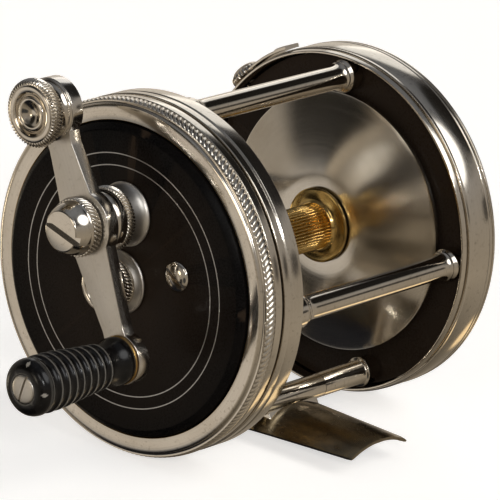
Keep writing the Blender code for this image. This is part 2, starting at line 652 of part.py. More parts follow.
def make_crank():
    """Shaft, arm, nut and counterweight, which turn together."""
    stud = ARM_BACK - 0.25
    stud_end = SEAT + 1.9
    front, back = BRIDGE_FRONT + GAP, BRIDGE_BACK - 0.2
    turned("crank_shaft", [
        (0.0, stud_end), (STUD_R, stud_end), (STUD_R, stud), (SHAFT_R, stud), (SHAFT_R, front),
        (SHAFT_END_R, front), (SHAFT_END_R, back), (0.0, back)],
        steel, on_crank(), steps=MID_STEPS)
    bore = STUD_R + GAP
    holes = [circle(bore, MID_STEPS),
             circle(RIVET_R + GAP, SMALL_STEPS, polar(WEIGHT_REACH, ARM_ANGLE)),
             circle(RIVET_R + 0.4, SMALL_STEPS, polar(GRIP_REACH, ARM_ANGLE + 180.0))]
    plate("crank_arm", [arm_outline()] + holes, nickel, ARM_BACK, ARM_FRONT, on_crank())
    face = SEAT + 4.1
    nut = turned("crank_nut", [
        (0.0, face), (NUT_FACE_R - 0.3, face), (NUT_FACE_R, face - 0.3), (3.6, SEAT + 1.9),
        (NUT_R, SEAT + 1.5), (NUT_R, SEAT), (bore, SEAT), (bore, stud_end + GAP),
        (0.0, stud_end + GAP)], nickel, on_crank(), steps=MID_STEPS)
    cut_block(nut, "nut_slot", (face - 0.7, -4.0, -0.5), (face + 1.0, 4.0, 0.5), turn=-20.0,
              centre=on_crank())
    rim = SEAT + 3.6
    turned("counterweight", [
        (0.0, rim - 0.6), (2.1, rim - 0.4), (2.4, rim), (WEIGHT_FACE_R, rim),
        (WEIGHT_R - 0.15, rim - 0.7), (WEIGHT_R, rim - 1.2), (WEIGHT_R, SEAT + 1.7),
        (WEIGHT_WAIST_R + 0.2, SEAT + 1.4), (WEIGHT_WAIST_R, SEAT + 0.8),
        (WEIGHT_WAIST_R + 0.3, SEAT), (RIVET_R, SEAT), (RIVET_R, ARM_BACK), (0.0, ARM_BACK)],
        nickel, on_crank(WEIGHT_REACH, ARM_ANGLE), steps=MID_STEPS)


def make_grip():
    """Ribbed hard-rubber grip that spins on a slotted spindle."""
    place = on_crank(GRIP_REACH, ARM_ANGLE + 180.0)
    spindle = turned("grip_spindle", [
        (0.0, GRIP_END + 0.2), (1.5, GRIP_END + 0.1), (SPINDLE_HEAD_R, GRIP_END - 0.3),
        (SPINDLE_HEAD_R, GRIP_END - 1.2), (RIVET_R, GRIP_END - 1.2), (RIVET_R, ARM_BACK),
        (0.0, ARM_BACK)], nickel, place, steps=SMALL_STEPS)
    cut_block(spindle, "spindle_slot", (GRIP_END - 0.4, -3.0, -0.3), (GRIP_END + 1.0, 3.0, 0.3),
              turn=75.0, centre=place)
    bore, cup_r, cup_floor = RIVET_R + 0.4, SPINDLE_HEAD_R + 0.34, GRIP_END - 1.5
    turned("handle_grip", [
        (cup_r, GRIP_END - 0.1), (GRIP_R - 0.7, GRIP_END - 0.1), (GRIP_R, GRIP_END - 1.2),
        (GRIP_R, GRIP_END - 4.0), (GRIP_R - 0.4, GRIP_END - 10.0), (GRIP_NECK_R, GRIP_END - 16.5),
        (GRIP_FOOT_R, SEAT + 1.3), (GRIP_FOOT_R, SEAT + 0.3), (GRIP_NECK_R, SEAT), (bore, SEAT),
        (bore, cup_floor),
        (cup_r, cup_floor)], hard_rubber, place, steps=MID_STEPS, ring=True)


# ---- adjusting caps, click and latch -----------------------------------------------------

def make_bearing_caps():
    """Knurled caps that set the spool's end play."""
    low, top = HEAD_FACE + 1.3, HEAD_FACE + 4.1
    waist = low + 1.4
    turned("spool_cap_head", [
        (0.0, top), (CAP_R - 0.44, top), (CAP_R, top - 0.4), (CAP_R, waist + 0.15),
        (CAP_R - 0.19, waist), (CAP_R, waist - 0.15), (CAP_R, low), (CAP_BORE_R, low),
        (CAP_BORE_R, top - 1.0), (0.0, top - 1.0)], nickel, steps=MID_STEPS)
    low, top = TAIL_FACE - 1.3, TAIL_FACE - 4.1
    turned("spool_cap_tail", [
        (0.0, top + 1.0), (CAP_BORE_R, top + 1.0), (CAP_BORE_R, low), (CAP_R, low),
        (CAP_R, top + 0.4), (CAP_R - 0.44, top), (0.0, top)], nickel, steps=MID_STEPS)


def make_click():
    """Button outside the tail plate, with the pawl that it slides towards the ratchet."""
    y, z = on_spool()
    place = (y - CLICK_REACH, z)
    stem_r, stem_end = CLICK_SLOT_HALF - GAP, PAWL_BACK - GAP
    seat, top = TAIL_FACE - GAP, TAIL_FACE - 1.6
    turned("click_button", [
        (0.0, stem_end), (stem_r, stem_end), (stem_r, seat), (CLICK_BUTTON_R, seat),
        (CLICK_BUTTON_R, top + 0.4), (CLICK_BUTTON_R - 0.4, top), (0.0, top)], nickel, place,
        steps=SMALL_STEPS)
    point = CLICK_REACH - PAWL_TIP
    pawl = [(point, 0.15), (point - 1.2, 0.8), (-0.8, 0.8), (-0.8, -0.8), (point - 1.2, -0.8),
            (point, -0.15)]
    plate("click_pawl", [pawl], steel, PAWL_BACK, PAWL_FRONT, place)
    make_click_spring()


def make_click_spring():
    """Hairpin of spring wire around the pawl."""
    y, z = on_spool()
    bend = arc((-SPRING_LOOP, 0.0), SPRING_LOOP_R, 90.0, 270.0, 7)
    leg = SPRING_LOOP_R - 0.3
    path = [(-SPRING_TIP, leg)] + bend + [(-SPRING_TIP, -leg)]
    wire = bpy.data.curves.new("click_spring", "CURVE")
    wire.dimensions = "3D"
    wire.bevel_depth = WIRE_R * MM
    wire.bevel_resolution = 1
    wire.use_fill_caps = True
    spline = wire.splines.new("POLY")
    spline.points.add(len(path) - 1)
    for point, (dy, dz) in zip(spline.points, path):
        point.co = (dy * MM, dz * MM, 0.0, 1.0)
    add_object("click_spring", wire, parts, steel, (y, z), 0.5 * (PAWL_BACK + PAWL_FRONT))


def make_latch():
    """Fluted thumb screw in the tail ring, and the spring leaf beside it that lies on the ring."""
    low, top = RING_R + 0.15, RING_R + 0.65
    outline = arc((0.0, 0.0), low, LATCH_TIP_ANGLE, LATCH_ROOT_ANGLE, 4)
    outline += arc((0.0, 0.0), top, LATCH_ROOT_ANGLE, LATCH_TIP_ANGLE, 4)
    plate("latch_spring", [outline], nickel, LATCH_LEAF_BACK, LATCH_LEAF_FRONT, on_spool())
    head_low, head_top = RING_R + GAP, RING_R + 2.1
    screw = turned("latch_thumb_screw", [
        (0.0, head_top), (LATCH_HEAD_R - 0.84, head_top - 0.15),
        (LATCH_HEAD_R - 0.19, head_top - 0.6), (LATCH_HEAD_R, head_low), (SCREW_R, head_low),
        (SCREW_R, LATCH_SCREW_END), (0.0, LATCH_SCREW_END)], nickel, steps=16)
    screw.location.x = LATCH_X * MM
    screw.rotation_euler = (math.radians(LATCH_ANGLE - 90.0), 0.0, 0.0)


clear_scene()
parts = new_collection("fishing_reel")
cutters = new_collection("cutters")

nickel = material("nickel_silver", (0.66, 0.62, 0.56), 0.28, 1.0)
hard_rubber = material("hard_rubber", (0.015, 0.014, 0.014), 0.3, 0.0)
brass = material("brass", (0.80, 0.58, 0.22), 0.25, 1.0)
steel = material("steel", (0.55, 0.55, 0.55), 0.35, 1.0)

foot_envelope = make_foot_envelope()
make_knurled_screw_ring()
make_head_frame_ring()
make_head_plate()
make_inner_head_plate()
make_tail_ring()
make_tail_plate()
make_pillars()
make_frame_screws()
make_foot()
make_saddles()
make_bearings()
make_bridge()
make_spool()
make_gears()
make_crank()
make_grip()
make_bearing_caps()
make_click()
make_latch()
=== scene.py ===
"""The looks of an old multiplying fishing reel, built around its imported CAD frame.

X runs along the spool's axis with the crank at +X, +Y points to the rod's tip and +Z up.
Lengths here are in millimetres, and add_piece turns them into metres. Each fine piece takes its
place from the box of the CAD node that it stands for.
"""
import math
from types import SimpleNamespace

import bmesh
import bpy
from mathutils import Matrix, Quaternion, Vector


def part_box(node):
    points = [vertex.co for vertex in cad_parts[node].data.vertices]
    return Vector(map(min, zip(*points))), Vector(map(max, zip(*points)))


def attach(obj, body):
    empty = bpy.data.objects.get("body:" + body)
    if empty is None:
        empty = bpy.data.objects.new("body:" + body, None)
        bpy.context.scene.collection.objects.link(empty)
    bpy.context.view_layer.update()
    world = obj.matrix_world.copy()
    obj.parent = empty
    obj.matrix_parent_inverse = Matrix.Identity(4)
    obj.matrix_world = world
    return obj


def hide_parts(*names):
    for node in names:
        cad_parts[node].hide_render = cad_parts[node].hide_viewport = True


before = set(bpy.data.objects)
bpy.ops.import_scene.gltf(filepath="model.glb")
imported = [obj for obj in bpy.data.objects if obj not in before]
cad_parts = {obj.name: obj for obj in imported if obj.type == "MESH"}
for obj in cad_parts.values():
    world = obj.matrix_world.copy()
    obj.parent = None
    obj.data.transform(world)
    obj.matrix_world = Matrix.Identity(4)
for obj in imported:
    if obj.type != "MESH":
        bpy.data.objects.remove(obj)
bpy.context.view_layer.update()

MM = 0.001
TAU = 2.0 * math.pi

# Sizes that a node's box can't give
BEZEL_WIDTH = 3.2         # face of the screw ring, from its bore to its rim
KNURL_SLANT = 33.0        # rope knurls lean this much, in degrees
CRANK_ANGLE = 118.0       # direction from the crank's axis to the counterweight
ARM_HUB_R = 4.95
PIVOT_BORE_R = 1.25       # hole for the spool's pivots
PILLAR_R = 1.77
NECK_R = 1.2              # foot pillars inside their saddles
ARBOR_R = 3.46
COLLAR_R = 5.6            # brass collars at the arbor's ends
SADDLE_BORE_R = 1.5
CLICK_TRAVEL = 1.6
INLAYS = {"inlay_line_outer": 18.4, "inlay_line_inner": 16.67}

FINE = 256                # steps round the side rings
MEDIUM = 128
SMALL = 72


# ---- places ----

def where(node):
    """Place of a turned CAD node: centre (Y, Z), back and front X, and radius."""
    low, high = (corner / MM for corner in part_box(node))
    centre = (0.5 * (low.y + high.y), 0.5 * (low.z + high.z))
    return SimpleNamespace(centre=centre, back=low.x, front=high.x, radius=0.5 * (high.y - low.y),
                           low=low, high=high)


AXIS = where("spool_flange_tail").centre
CRANK = where("crank_post").centre


def polar(radius, degrees, centre=(0.0, 0.0)):
    """Y and Z of a point at an angle from +Y towards +Z."""
    angle = math.radians(degrees)
    return centre[0] + radius * math.cos(angle), centre[1] + radius * math.sin(angle)


# ---- outlines ----

def bend(start, control, end, count=7):
    """Points of a smooth curve from start to end, pulled towards control."""
    return [tuple((1 - t) ** 2 * a + 2 * t * (1 - t) * b + t * t * c
                  for a, b, c in zip(start, control, end))
            for t in (i / (count - 1) for i in range(count))]


def arc(centre, radius, start, end, count):
    """Points on an arc, both ends included, angles in degrees."""
    return [polar(radius, start + (end - start) * i / (count - 1), centre) for i in range(count)]


def rounded(points, closed=True):
    """An outline with the corners (a, b, fillet) rounded; points (a, b) stay sharp."""
    out = []
    for i, point in enumerate(points):
        at = Vector(point[:2])
        inside = closed or 0 < i < len(points) - 1
        if len(point) < 3 or not inside:
            out.append(tuple(at))
            continue
        before = Vector(points[i - 1][:2]) - at
        after = Vector(points[(i + 1) % len(points)][:2]) - at
        half = 0.5 * before.angle(after)
        reach = min(point[2] / math.tan(half), 0.48 * before.length, 0.48 * after.length)
        radius = reach * math.tan(half)
        inwards = (before.normalized() + after.normalized()).normalized()
        middle = at + inwards * radius / math.sin(half)
        first = at + before.normalized() * reach - middle
        turn = math.pi - 2.0 * half
        side = 1.0 if before.x * after.y - before.y * after.x < 0.0 else -1.0
        count = max(2, math.ceil(math.degrees(turn) / 18.0))
        for k in range(count + 1):
            spin = Matrix.Rotation(side * turn * k / count, 2)
            out.append(tuple(middle + spin @ first))
    return out


# ---- pieces ----

def add_object(name, data):
    obj = bpy.data.objects.new(name, data)
    bpy.context.scene.collection.objects.link(obj)
    return obj


def add_piece(name, verts, faces, grain, centre, body, mat, nodes=()):
    """A closed mesh that rides on a body. grain follows the tool marks, its Z across them."""
    mesh = bpy.data.meshes.new(name)
    mesh.from_pydata([[c * MM for c in v] for v in verts], [], faces)
    attribute = mesh.attributes.new("grain", "FLOAT_VECTOR", "POINT")
    attribute.data.foreach_set("vector", [c for g in grain for c in g])
    obj = add_object(name, mesh)
    obj.location = (0.0, centre[0] * MM, centre[1] * MM)
    mesh.materials.append(mat)
    tidy_mesh(mesh)
    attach(obj, body)
    if nodes:
        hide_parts(*nodes)
    return obj


def tidy_mesh(mesh, sharp=38.0):
    """Outward normals, smooth shading and sharp edges where a surface turns."""
    work = bmesh.new()
    work.from_mesh(mesh)
    bmesh.ops.recalc_face_normals(work, faces=work.faces)
    work.to_mesh(mesh)
    work.free()
    mesh.shade_smooth()
    mesh.set_sharp_from_angle(angle=math.radians(sharp))


def lathe(name, profile, centre, body, mat, nodes=(), steps=MEDIUM, relief=None):
    """A turned piece: (radius, X) points of its section; a third value lets relief cut there."""
    turns = [(math.cos(TAU * k / steps), math.sin(TAU * k / steps)) for k in range(steps)]
    verts, grain, rows, faces = [], [], [], []
    along, last = 0.0, profile[0]
    for point in profile:
        radius, x = point[:2]
        along += math.dist(point[:2], last[:2])
        last = point
        if radius < 0.001:
            rows.append([len(verts)] * steps)
            verts.append((x, 0.0, 0.0))
            grain.append((0.0, 0.0, along))
            continue
        rows.append(range(len(verts), len(verts) + steps))
        for k, (c, s) in enumerate(turns):
            depth = point[2] * relief(TAU * k / steps, x) if len(point) > 2 else 0.0
            verts.append((x, (radius - depth) * c, (radius - depth) * s))
            grain.append((radius * c, radius * s, along))
    for row, other in zip(rows, rows[1:] + rows[:1]):
        for k in range(steps):
            j = (k + 1) % steps
            corners = list(dict.fromkeys((row[k], row[j], other[j], other[k])))
            if len(corners) > 2:
                faces.append(corners)
    return add_piece(name, verts, faces, grain, centre, body, mat, nodes)


def ribs(count, height, lean=0.0, radius=1.0, keen=0.7):
    """Relief of round ribs with narrow furrows; they advance with the angle as X falls."""
    per_mm = math.tan(math.radians(lean)) * count / (TAU * radius)

    def relief(angle, x):
        phase = count * angle / TAU + per_mm * x
        return height * (1.0 - abs(math.cos(math.pi * phase)) ** keen)

    return relief


def knurled_band(name, centre, body, radius, back, front, count, height, lean=KNURL_SLANT,
                 crown=0.3, per_rib=8, keen=0.7):
    """A ring of slanted ribs with a crowned section, set into the piece that it belongs to."""
    rows = 13
    outer = []
    for i in range(rows):
        share = 2.0 * i / (rows - 1) - 1.0
        drop = crown * (1.0 - math.sqrt(1.0 - 0.98 * share * share))
        weight = 1.0 - 0.2 * share ** 4
        outer.append((radius - drop, 0.5 * (front + back) - 0.5 * (front - back) * share, weight))
    inner = radius - crown - height - 0.4
    profile = [(inner, front)] + outer + [(inner, back)]
    return lathe(name, profile, centre, body, nickel_knurled, steps=count * per_rib,
                 relief=ribs(count, height, lean, radius, keen))


def skin(size, rings):
    """Faces between neighbouring rings of size points each."""
    return [(r * size + k, r * size + (k + 1) % size, (r + 1) * size + (k + 1) % size,
             (r + 1) * size + k) for r in range(rings - 1) for k in range(size)]


def slab(name, outline, back, front, edge, centre, body, mat, nodes=(), run=(0.0, 1.0)):
    """A flat piece across X with rounded edges. Its grain runs along the direction run (Y, Z)."""
    count = len(outline)
    area = sum(outline[i - 1][0] * outline[i][1] - outline[i][0] * outline[i - 1][1]
               for i in range(count))
    inward = []
    for i in range(count):
        ahead = Vector(outline[(i + 1) % count]) - Vector(outline[i])
        behind = Vector(outline[i]) - Vector(outline[i - 1])
        way = ahead.normalized() + behind.normalized()
        inward.append(Vector((-way.y, way.x)).normalized() * math.copysign(1.0, area))
    rounds = 4
    levels = []
    for k in range(rounds + 1):
        angle = 0.5 * math.pi * k / rounds
        levels.append((edge * (1.0 - math.sin(angle)), back + edge * (1.0 - math.cos(angle))))
    levels += [(inset, back + front - x) for inset, x in reversed(levels)]
    verts, grain = [], []
    for inset, x in levels:
        for point, normal in zip(outline, inward):
            y, z = Vector(point) + normal * inset
            verts.append((x, y, z))
            grain.append(((y * run[0] + z * run[1]), x, -y * run[1] + z * run[0]))
    faces = [list(range(count)), list(range(len(verts) - count, len(verts)))]
    faces += skin(count, len(levels))
    return add_piece(name, verts, faces, grain, centre, body, mat, nodes)


def cut(obj, tool):
    """Takes the tool's closed mesh (a bmesh in row millimetres) out of a piece."""
    bmesh.ops.scale(tool, vec=(MM, MM, MM), verts=tool.verts)
    bmesh.ops.recalc_face_normals(tool, faces=tool.faces)
    mesh = bpy.data.meshes.new("tool")
    tool.to_mesh(mesh)
    tool.free()
    cutter = add_object("tool", mesh)
    boolean = obj.modifiers.new("cut", "BOOLEAN")
    boolean.operation = "DIFFERENCE"
    boolean.object = cutter
    bpy.context.view_layer.update()
    seen = obj.evaluated_get(bpy.context.evaluated_depsgraph_get())
    result = bpy.data.meshes.new_from_object(seen)
    obj.modifiers.remove(boolean)
    old, obj.data = obj.data, result
    result.name = old.name
    bpy.data.objects.remove(cutter)
    for unused in (old, mesh):
        bpy.data.meshes.remove(unused)
    tidy_mesh(result)


def slot_tool(centre, x_low, x_high, half_width, turn, half_length=6.0):
    """A block across a screw's head, turned about X."""
    place = Matrix.Translation((0.5 * (x_low + x_high), centre[0], centre[1]))
    place @= Matrix.Rotation(math.radians(turn), 4, "X")
    place @= Matrix.Diagonal((x_high - x_low, 2.0 * half_length, 2.0 * half_width, 1.0))
    tool = bmesh.new()
    bmesh.ops.create_cube(tool, size=1.0, matrix=place)
    return tool


def rods_tool(rods, steps=48):
    """Cylinders to bore with: each is (radius, start, end)."""
    tool = bmesh.new()
    for radius, start, end in rods:
        start, end = Vector(start), Vector(end)
        way = end - start
        place = Matrix.Translation(0.5 * (start + end))
        place @= way.to_track_quat("Z", "Y").to_matrix().to_4x4()
        bmesh.ops.create_cone(tool, cap_ends=True, segments=steps, radius1=radius, radius2=radius,
                              depth=way.length, matrix=place)
    return tool


# ---- materials ----

class Nodes:
    """A node tree under construction."""

    def __init__(self, tree):
        self.tree = tree

    def node(self, kind, **inputs):
        made = self.tree.nodes.new(kind)
        self.feed(made, **inputs)
        return made

    def feed(self, node, **inputs):
        for key, value in inputs.items():
            self.put(node.inputs[key.replace("_", " ")], value)

    def put(self, socket, value):
        if isinstance(value, bpy.types.NodeSocket):
            self.tree.links.new(value, socket)
        else:
            socket.default_value = value

    def noise(self, vector, scale, detail=3.0, roughness=0.55):
        return self.node("ShaderNodeTexNoise", Vector=vector, Scale=scale, Detail=detail,
                         Roughness=roughness).outputs["Fac"]

    def span(self, value, low, high, start=0.0, end=1.0, shape="LINEAR"):
        made = self.node("ShaderNodeMapRange", From_Min=low, From_Max=high, To_Min=start,
                         To_Max=end, Value=value)
        made.interpolation_type = shape
        return made.outputs["Result"]

    def mix(self, share, first, second, blend="MIX"):
        made = self.tree.nodes.new("ShaderNodeMix")
        made.data_type, made.blend_type = "RGBA", blend
        for number, value in ((0, share), (6, first), (7, second)):
            self.put(made.inputs[number], (*value, 1.0) if isinstance(value, tuple) else value)
        return made.outputs[2]

    def maths(self, operation, first, second):
        made = self.tree.nodes.new("ShaderNodeMath")
        made.operation = operation
        self.put(made.inputs[0], first)
        self.put(made.inputs[1], second)
        return made.outputs[0]


class Shader(Nodes):
    """A node material; slot, kept on it as a custom property, names what it is made of."""

    def __init__(self, name, slot):
        self.mat = bpy.data.materials.new(name)
        self.mat.use_nodes = True
        self.mat["slot"] = slot
        super().__init__(self.mat.node_tree)

    def surface(self, **inputs):
        self.feed(self.tree.nodes["Principled BSDF"], **inputs)

    def grain(self, scale):
        """Coordinates that follow the tool marks, in millimetres, scaled."""
        source = self.node("ShaderNodeAttribute")
        source.attribute_name = "grain"
        return self.node("ShaderNodeMapping", Vector=source.outputs["Vector"],
                         Scale=scale).outputs["Vector"]

    def place(self):
        """Object coordinates in metres."""
        return self.node("ShaderNodeTexCoord").outputs["Object"]

    def bump(self, height, distance, strength=1.0, normal=None):
        made = self.node("ShaderNodeBump", Height=height, Distance=distance, Strength=strength)
        if normal is not None:
            self.put(made.inputs["Normal"], normal)
        return made.outputs["Normal"]

    def edges(self, low, high):
        """1 on outer edges and 0 elsewhere, where hands and cloths polish."""
        return self.span(self.node("ShaderNodeNewGeometry").outputs["Pointiness"], low, high)


def metal(name, slot, bright, tarnish, rough, marks, spread=0.0, patina=0.5, mottled=0.35,
          cloud=140.0, satin_ends=0.0):
    """Polished metal: tool marks, patches of tarnish, dull furrows and bright edges.

    marks is how deep the tool marks are in microns and spread how far they smear a reflection;
    satin_ends dulls the faces that look along X.
    """
    look = Shader(name, slot)
    place = look.place()
    streaks = look.noise(look.grain((0.04, 0.04, 5.5)), 1.0, 6.0, 0.7)
    clouds = look.span(look.noise(place, cloud, 5.0, 0.62), 0.42, 0.72)
    specks = look.span(look.noise(place, 1500.0, 2.0, 0.5), 0.58, 0.8)
    pits = look.noise(place, 5200.0, 2.0, 0.5)
    edges = look.edges(0.49, 0.56)
    aged = look.maths("MULTIPLY", clouds, patina)
    aged = look.maths("MULTIPLY", aged, look.span(edges, 0.0, 1.0, 1.0, 0.25))
    colour = look.mix(aged, bright, tarnish)
    colour = look.mix(look.maths("MULTIPLY", specks, mottled), colour,
                      tuple(0.45 * c for c in tarnish))
    colour = look.mix(look.span(streaks, 0.3, 0.75, 0.0, 0.22), colour,
                      tuple(0.6 * c for c in bright))
    furrows = look.edges(0.475, 0.4)
    colour = look.mix(look.maths("MULTIPLY", furrows, 0.75), colour,
                      tuple(0.2 * c for c in tarnish))
    roughness = look.maths("ADD", look.span(streaks, 0.3, 0.75, rough, rough + 0.07),
                           look.maths("MULTIPLY", aged, 0.1))
    roughness = look.maths("ADD", roughness, look.maths("MULTIPLY", furrows, 0.25))
    if satin_ends:
        normal = look.node("ShaderNodeSeparateXYZ",
                           Vector=look.node("ShaderNodeNewGeometry").outputs["Normal"])
        facing = look.span(look.maths("ABSOLUTE", normal.outputs["X"], 0.0), 0.85, 0.97)
        roughness = look.maths("ADD", roughness, look.maths("MULTIPLY", facing, satin_ends))
    roughness = look.maths("ADD", roughness, look.span(pits, 0.5, 0.8, 0.0, 0.05))
    fine = look.bump(streaks, marks * 0.001 * MM, 0.6)
    look.surface(Base_Color=colour, Metallic=1.0, Roughness=roughness,
                 Normal=look.bump(pits, 0.0006 * MM, 0.4, fine))
    if spread:
        tangent = look.node("ShaderNodeTangent")
        tangent.direction_type = "RADIAL"
        tangent.axis = "X"
        look.surface(Anisotropic=spread, Anisotropic_Rotation=0.25,
                     Tangent=tangent.outputs["Tangent"])
    return look.mat


def rubber(name, slot, wear_and_sheen, gloss, shine):
    """Polished hard rubber: near black, with fine grain, faint turning marks and rubbed edges; on
    the grip the edge colour is light grey, partly wear and partly a painted highlight along the
    rib crests.
    """
    look = Shader(name, slot)
    place = look.place()
    turning = look.noise(look.grain((0.05, 0.05, 7.0)), 1.0, 5.0, 0.7)
    grain = look.noise(place, 3800.0, 3.0, 0.65)
    clouds = look.span(look.noise(place, 110.0, 4.0, 0.6), 0.38, 0.7)
    edges = look.edges(0.52, 0.6)
    colour = look.mix(clouds, (0.003, 0.0028, 0.003), (0.006, 0.005, 0.0045))
    colour = look.mix(look.span(grain, 0.52, 0.72, 0.0, 0.7), colour, (0.014, 0.0125, 0.012))
    # Convex edges and crests take the edge colour: real rubbing wear, and on the grip also a light
    # grey painted highlight along the rib crests.
    colour = look.mix(look.maths("MULTIPLY", edges, 0.8), colour, wear_and_sheen)
    roughness = look.maths("ADD", look.span(grain, 0.4, 0.7, gloss, gloss + 0.1),
                           look.maths("MULTIPLY", clouds, 0.06))
    rings = look.bump(turning, 0.0025 * MM, 0.5)
    look.surface(Base_Color=colour, Roughness=roughness, IOR=1.42, Specular_IOR_Level=shine,
                 Normal=look.bump(grain, 0.006 * MM, 0.5, rings))
    return look.mat


NICKEL = (0.74, 0.685, 0.60)
NICKEL_AGED = (0.50, 0.42, 0.31)
nickel = metal("polished_nickel_silver", "nickel_silver", NICKEL, NICKEL_AGED, 0.07, 1.5,
               patina=0.4)
nickel_turned = metal("turned_nickel_silver", "nickel_silver", NICKEL, NICKEL_AGED, 0.1, 3.0,
                      spread=0.4, patina=0.35)
nickel_knurled = metal("knurled_nickel_silver", "nickel_silver", NICKEL, (0.36, 0.30, 0.22), 0.14,
                       0.5, patina=0.3)
nickel_satin = metal("satin_nickel_silver", "nickel_silver", (0.72, 0.685, 0.63), NICKEL_AGED,
                     0.33, 4.0, patina=0.25, mottled=0.2)
nickel_arm = metal("arm_nickel_silver", "nickel_silver", (0.74, 0.70, 0.64), NICKEL_AGED, 0.12,
                   3.0, patina=0.25, mottled=0.2, satin_ends=0.24)
nickel_flange = metal("lathe_brushed_nickel_silver", "nickel_silver", (0.73, 0.69, 0.62),
                      NICKEL_AGED, 0.13, 5.0, spread=0.75, patina=0.3, mottled=0.1)
nickel_dark = metal("aged_nickel_silver", "nickel_silver", (0.30, 0.255, 0.18),
                    (0.10, 0.07, 0.03), 0.17, 2.0, patina=1.0, mottled=0.9, cloud=420.0)
worn_edge = metal("nickel_worn_to_brass", "nickel_silver", (0.60, 0.38, 0.13), (0.26, 0.14, 0.05),
                  0.24, 1.0, patina=0.6)
silver_line = metal("inlaid_silver", "nickel_silver", (0.62, 0.61, 0.60), (0.3, 0.29, 0.27), 0.3,
                    1.0, patina=0.6)
brass = metal("polished_brass", "brass", (0.70, 0.49, 0.19), (0.30, 0.19, 0.06), 0.12, 2.0)
steel = metal("oiled_steel", "steel", (0.50, 0.50, 0.50), (0.22, 0.19, 0.16), 0.26, 3.0)
rubber_plate = rubber("hard_rubber_plate", "hard_rubber", (0.04, 0.027, 0.018), 0.24, 0.08)
# The grip's light grey edge colour is partly wear and partly a painted highlight on the crests of
# its ribs.
rubber_grip = rubber("hard_rubber_grip", "hard_rubber", (0.42, 0.39, 0.34), 0.16, 0.4)


# ---- head side ----

def head_rings():
    """Knurled screw ring in front of the frame ring that carries the pillars."""
    ring = where("knurled_screw_ring")
    rim, lip, split = ring.radius, ring.front, ring.back
    bore, thread = rim - BEZEL_WIDTH, rim - 0.9
    seat = lip - 0.9
    profile = [(bore, seat), (bore, lip - 0.3)]
    profile += bend((bore + 0.14, lip - 0.1), (bore + 0.9, lip + 0.04), (rim - 1.1, lip - 0.05))
    profile += bend((rim - 0.98, lip - 0.1), (rim - 0.86, lip - 0.62), (rim - 0.36, lip - 0.52),
                    10)
    profile += rounded([(rim - 0.5, lip - 2.3), (rim - 0.14, lip - 2.45, 0.1),
                        (rim - 0.14, split + 0.12, 0.15), (rim - 0.5, split), (thread, split),
                        (thread, seat)], closed=False)
    lathe("screw_ring", profile, ring.centre, "frame", nickel_turned, ["knurled_screw_ring"], FINE)
    lathe("screw_ring_worn_edge", rounded([
        (bore - 0.03, seat), (bore - 0.03, lip - 0.24, 0.04), (bore + 0.18, lip - 0.05, 0.04),
        (bore + 0.2, seat)]), ring.centre, "frame", worn_edge, steps=FINE)
    knurled_band("screw_ring_knurl", ring.centre, "frame", rim, lip - 2.5, lip - 0.62, 190, 0.25,
                 crown=0.45)

    ring = where("head_frame_ring")
    rim, front, back = ring.radius, split - 0.3, ring.back
    profile = rounded([
        (rim - 2.0, ring.front), (rim - 1.2, ring.front, 0.1), (rim - 1.2, front),
        (rim, front, 0.16), (rim, back + 2.72, 0.08), (rim - 0.26, back + 2.45, 0.05),
        (rim, back + 2.2, 0.08), (rim, back + 0.12, 0.1), (rim - 0.16, back, 0.08),
        (rim - 6.8, back, 0.3), (rim - 6.8, back + 1.25), (rim - 2.0, back + 1.25, 0.3)])
    lathe("frame_ring", profile, ring.centre, "frame", nickel_turned, ["head_frame_ring"], FINE)


def head_plates():
    """Black plate with two fine inlaid circles, bored for the crank's post and the screws."""
    plate = where("head_plate")
    face, back, rim = plate.front, plate.back, plate.radius
    bore, step = where("head_bushing").radius - 1.35, rim - 2.1
    profile = rounded([
        (bore, face), (step - 0.95, face, 0.5), (step, face - 0.75, 0.25), (step, face - 2.2),
        (rim, face - 2.2, 0.1), (rim, back), (bore, back)])
    obj = lathe("head_plate_black", profile, plate.centre, "frame", rubber_plate, ["head_plate"],
                FINE)
    holes = [(3.7, CRANK)]
    holes += [(1.2, where(f"bridge_screw_{end}").centre) for end in ("front", "rear")]
    cut(obj, rods_tool([(r, (back - 1.0, *c), (face + 1.0, *c)) for r, c in holes]))
    for name, radius in INLAYS.items():
        lathe(name, [(radius - 0.08, face - 0.3), (radius + 0.08, face - 0.3),
                     (radius + 0.075, face + 0.01), (radius, face + 0.025),
                     (radius - 0.075, face + 0.01)], plate.centre, "frame", silver_line,
              steps=FINE)


def head_bearing():
    """Spool bearing bush with a dished flange, and the knurled cap that sets the end play."""
    bush = where("head_bushing")
    rim, face = bush.radius, bush.back + 2.9
    bore, shank = PIVOT_BORE_R, rim - 1.75
    seat = where("spool_cap_head").back - 0.12
    profile = [(bore, bush.front), (2.4, bush.front), (2.4, seat), (3.5, seat)]
    profile += bend((3.62, seat - 0.1), (3.95, face + 0.5), (rim - 0.34, face + 0.36))
    profile += bend((rim - 0.24, face + 0.42), (rim - 0.02, face + 0.36), (rim, face + 0.12), 6)
    profile += [(rim - 0.05, face), (shank, face), (shank, bush.back), (bore, bush.back)]
    lathe("spool_bearing_head", profile, bush.centre, "frame", nickel_satin, ["head_bushing"])
    bearing_cap("bearing_cap_head", "spool_cap_head", "head_cap", 1.0)


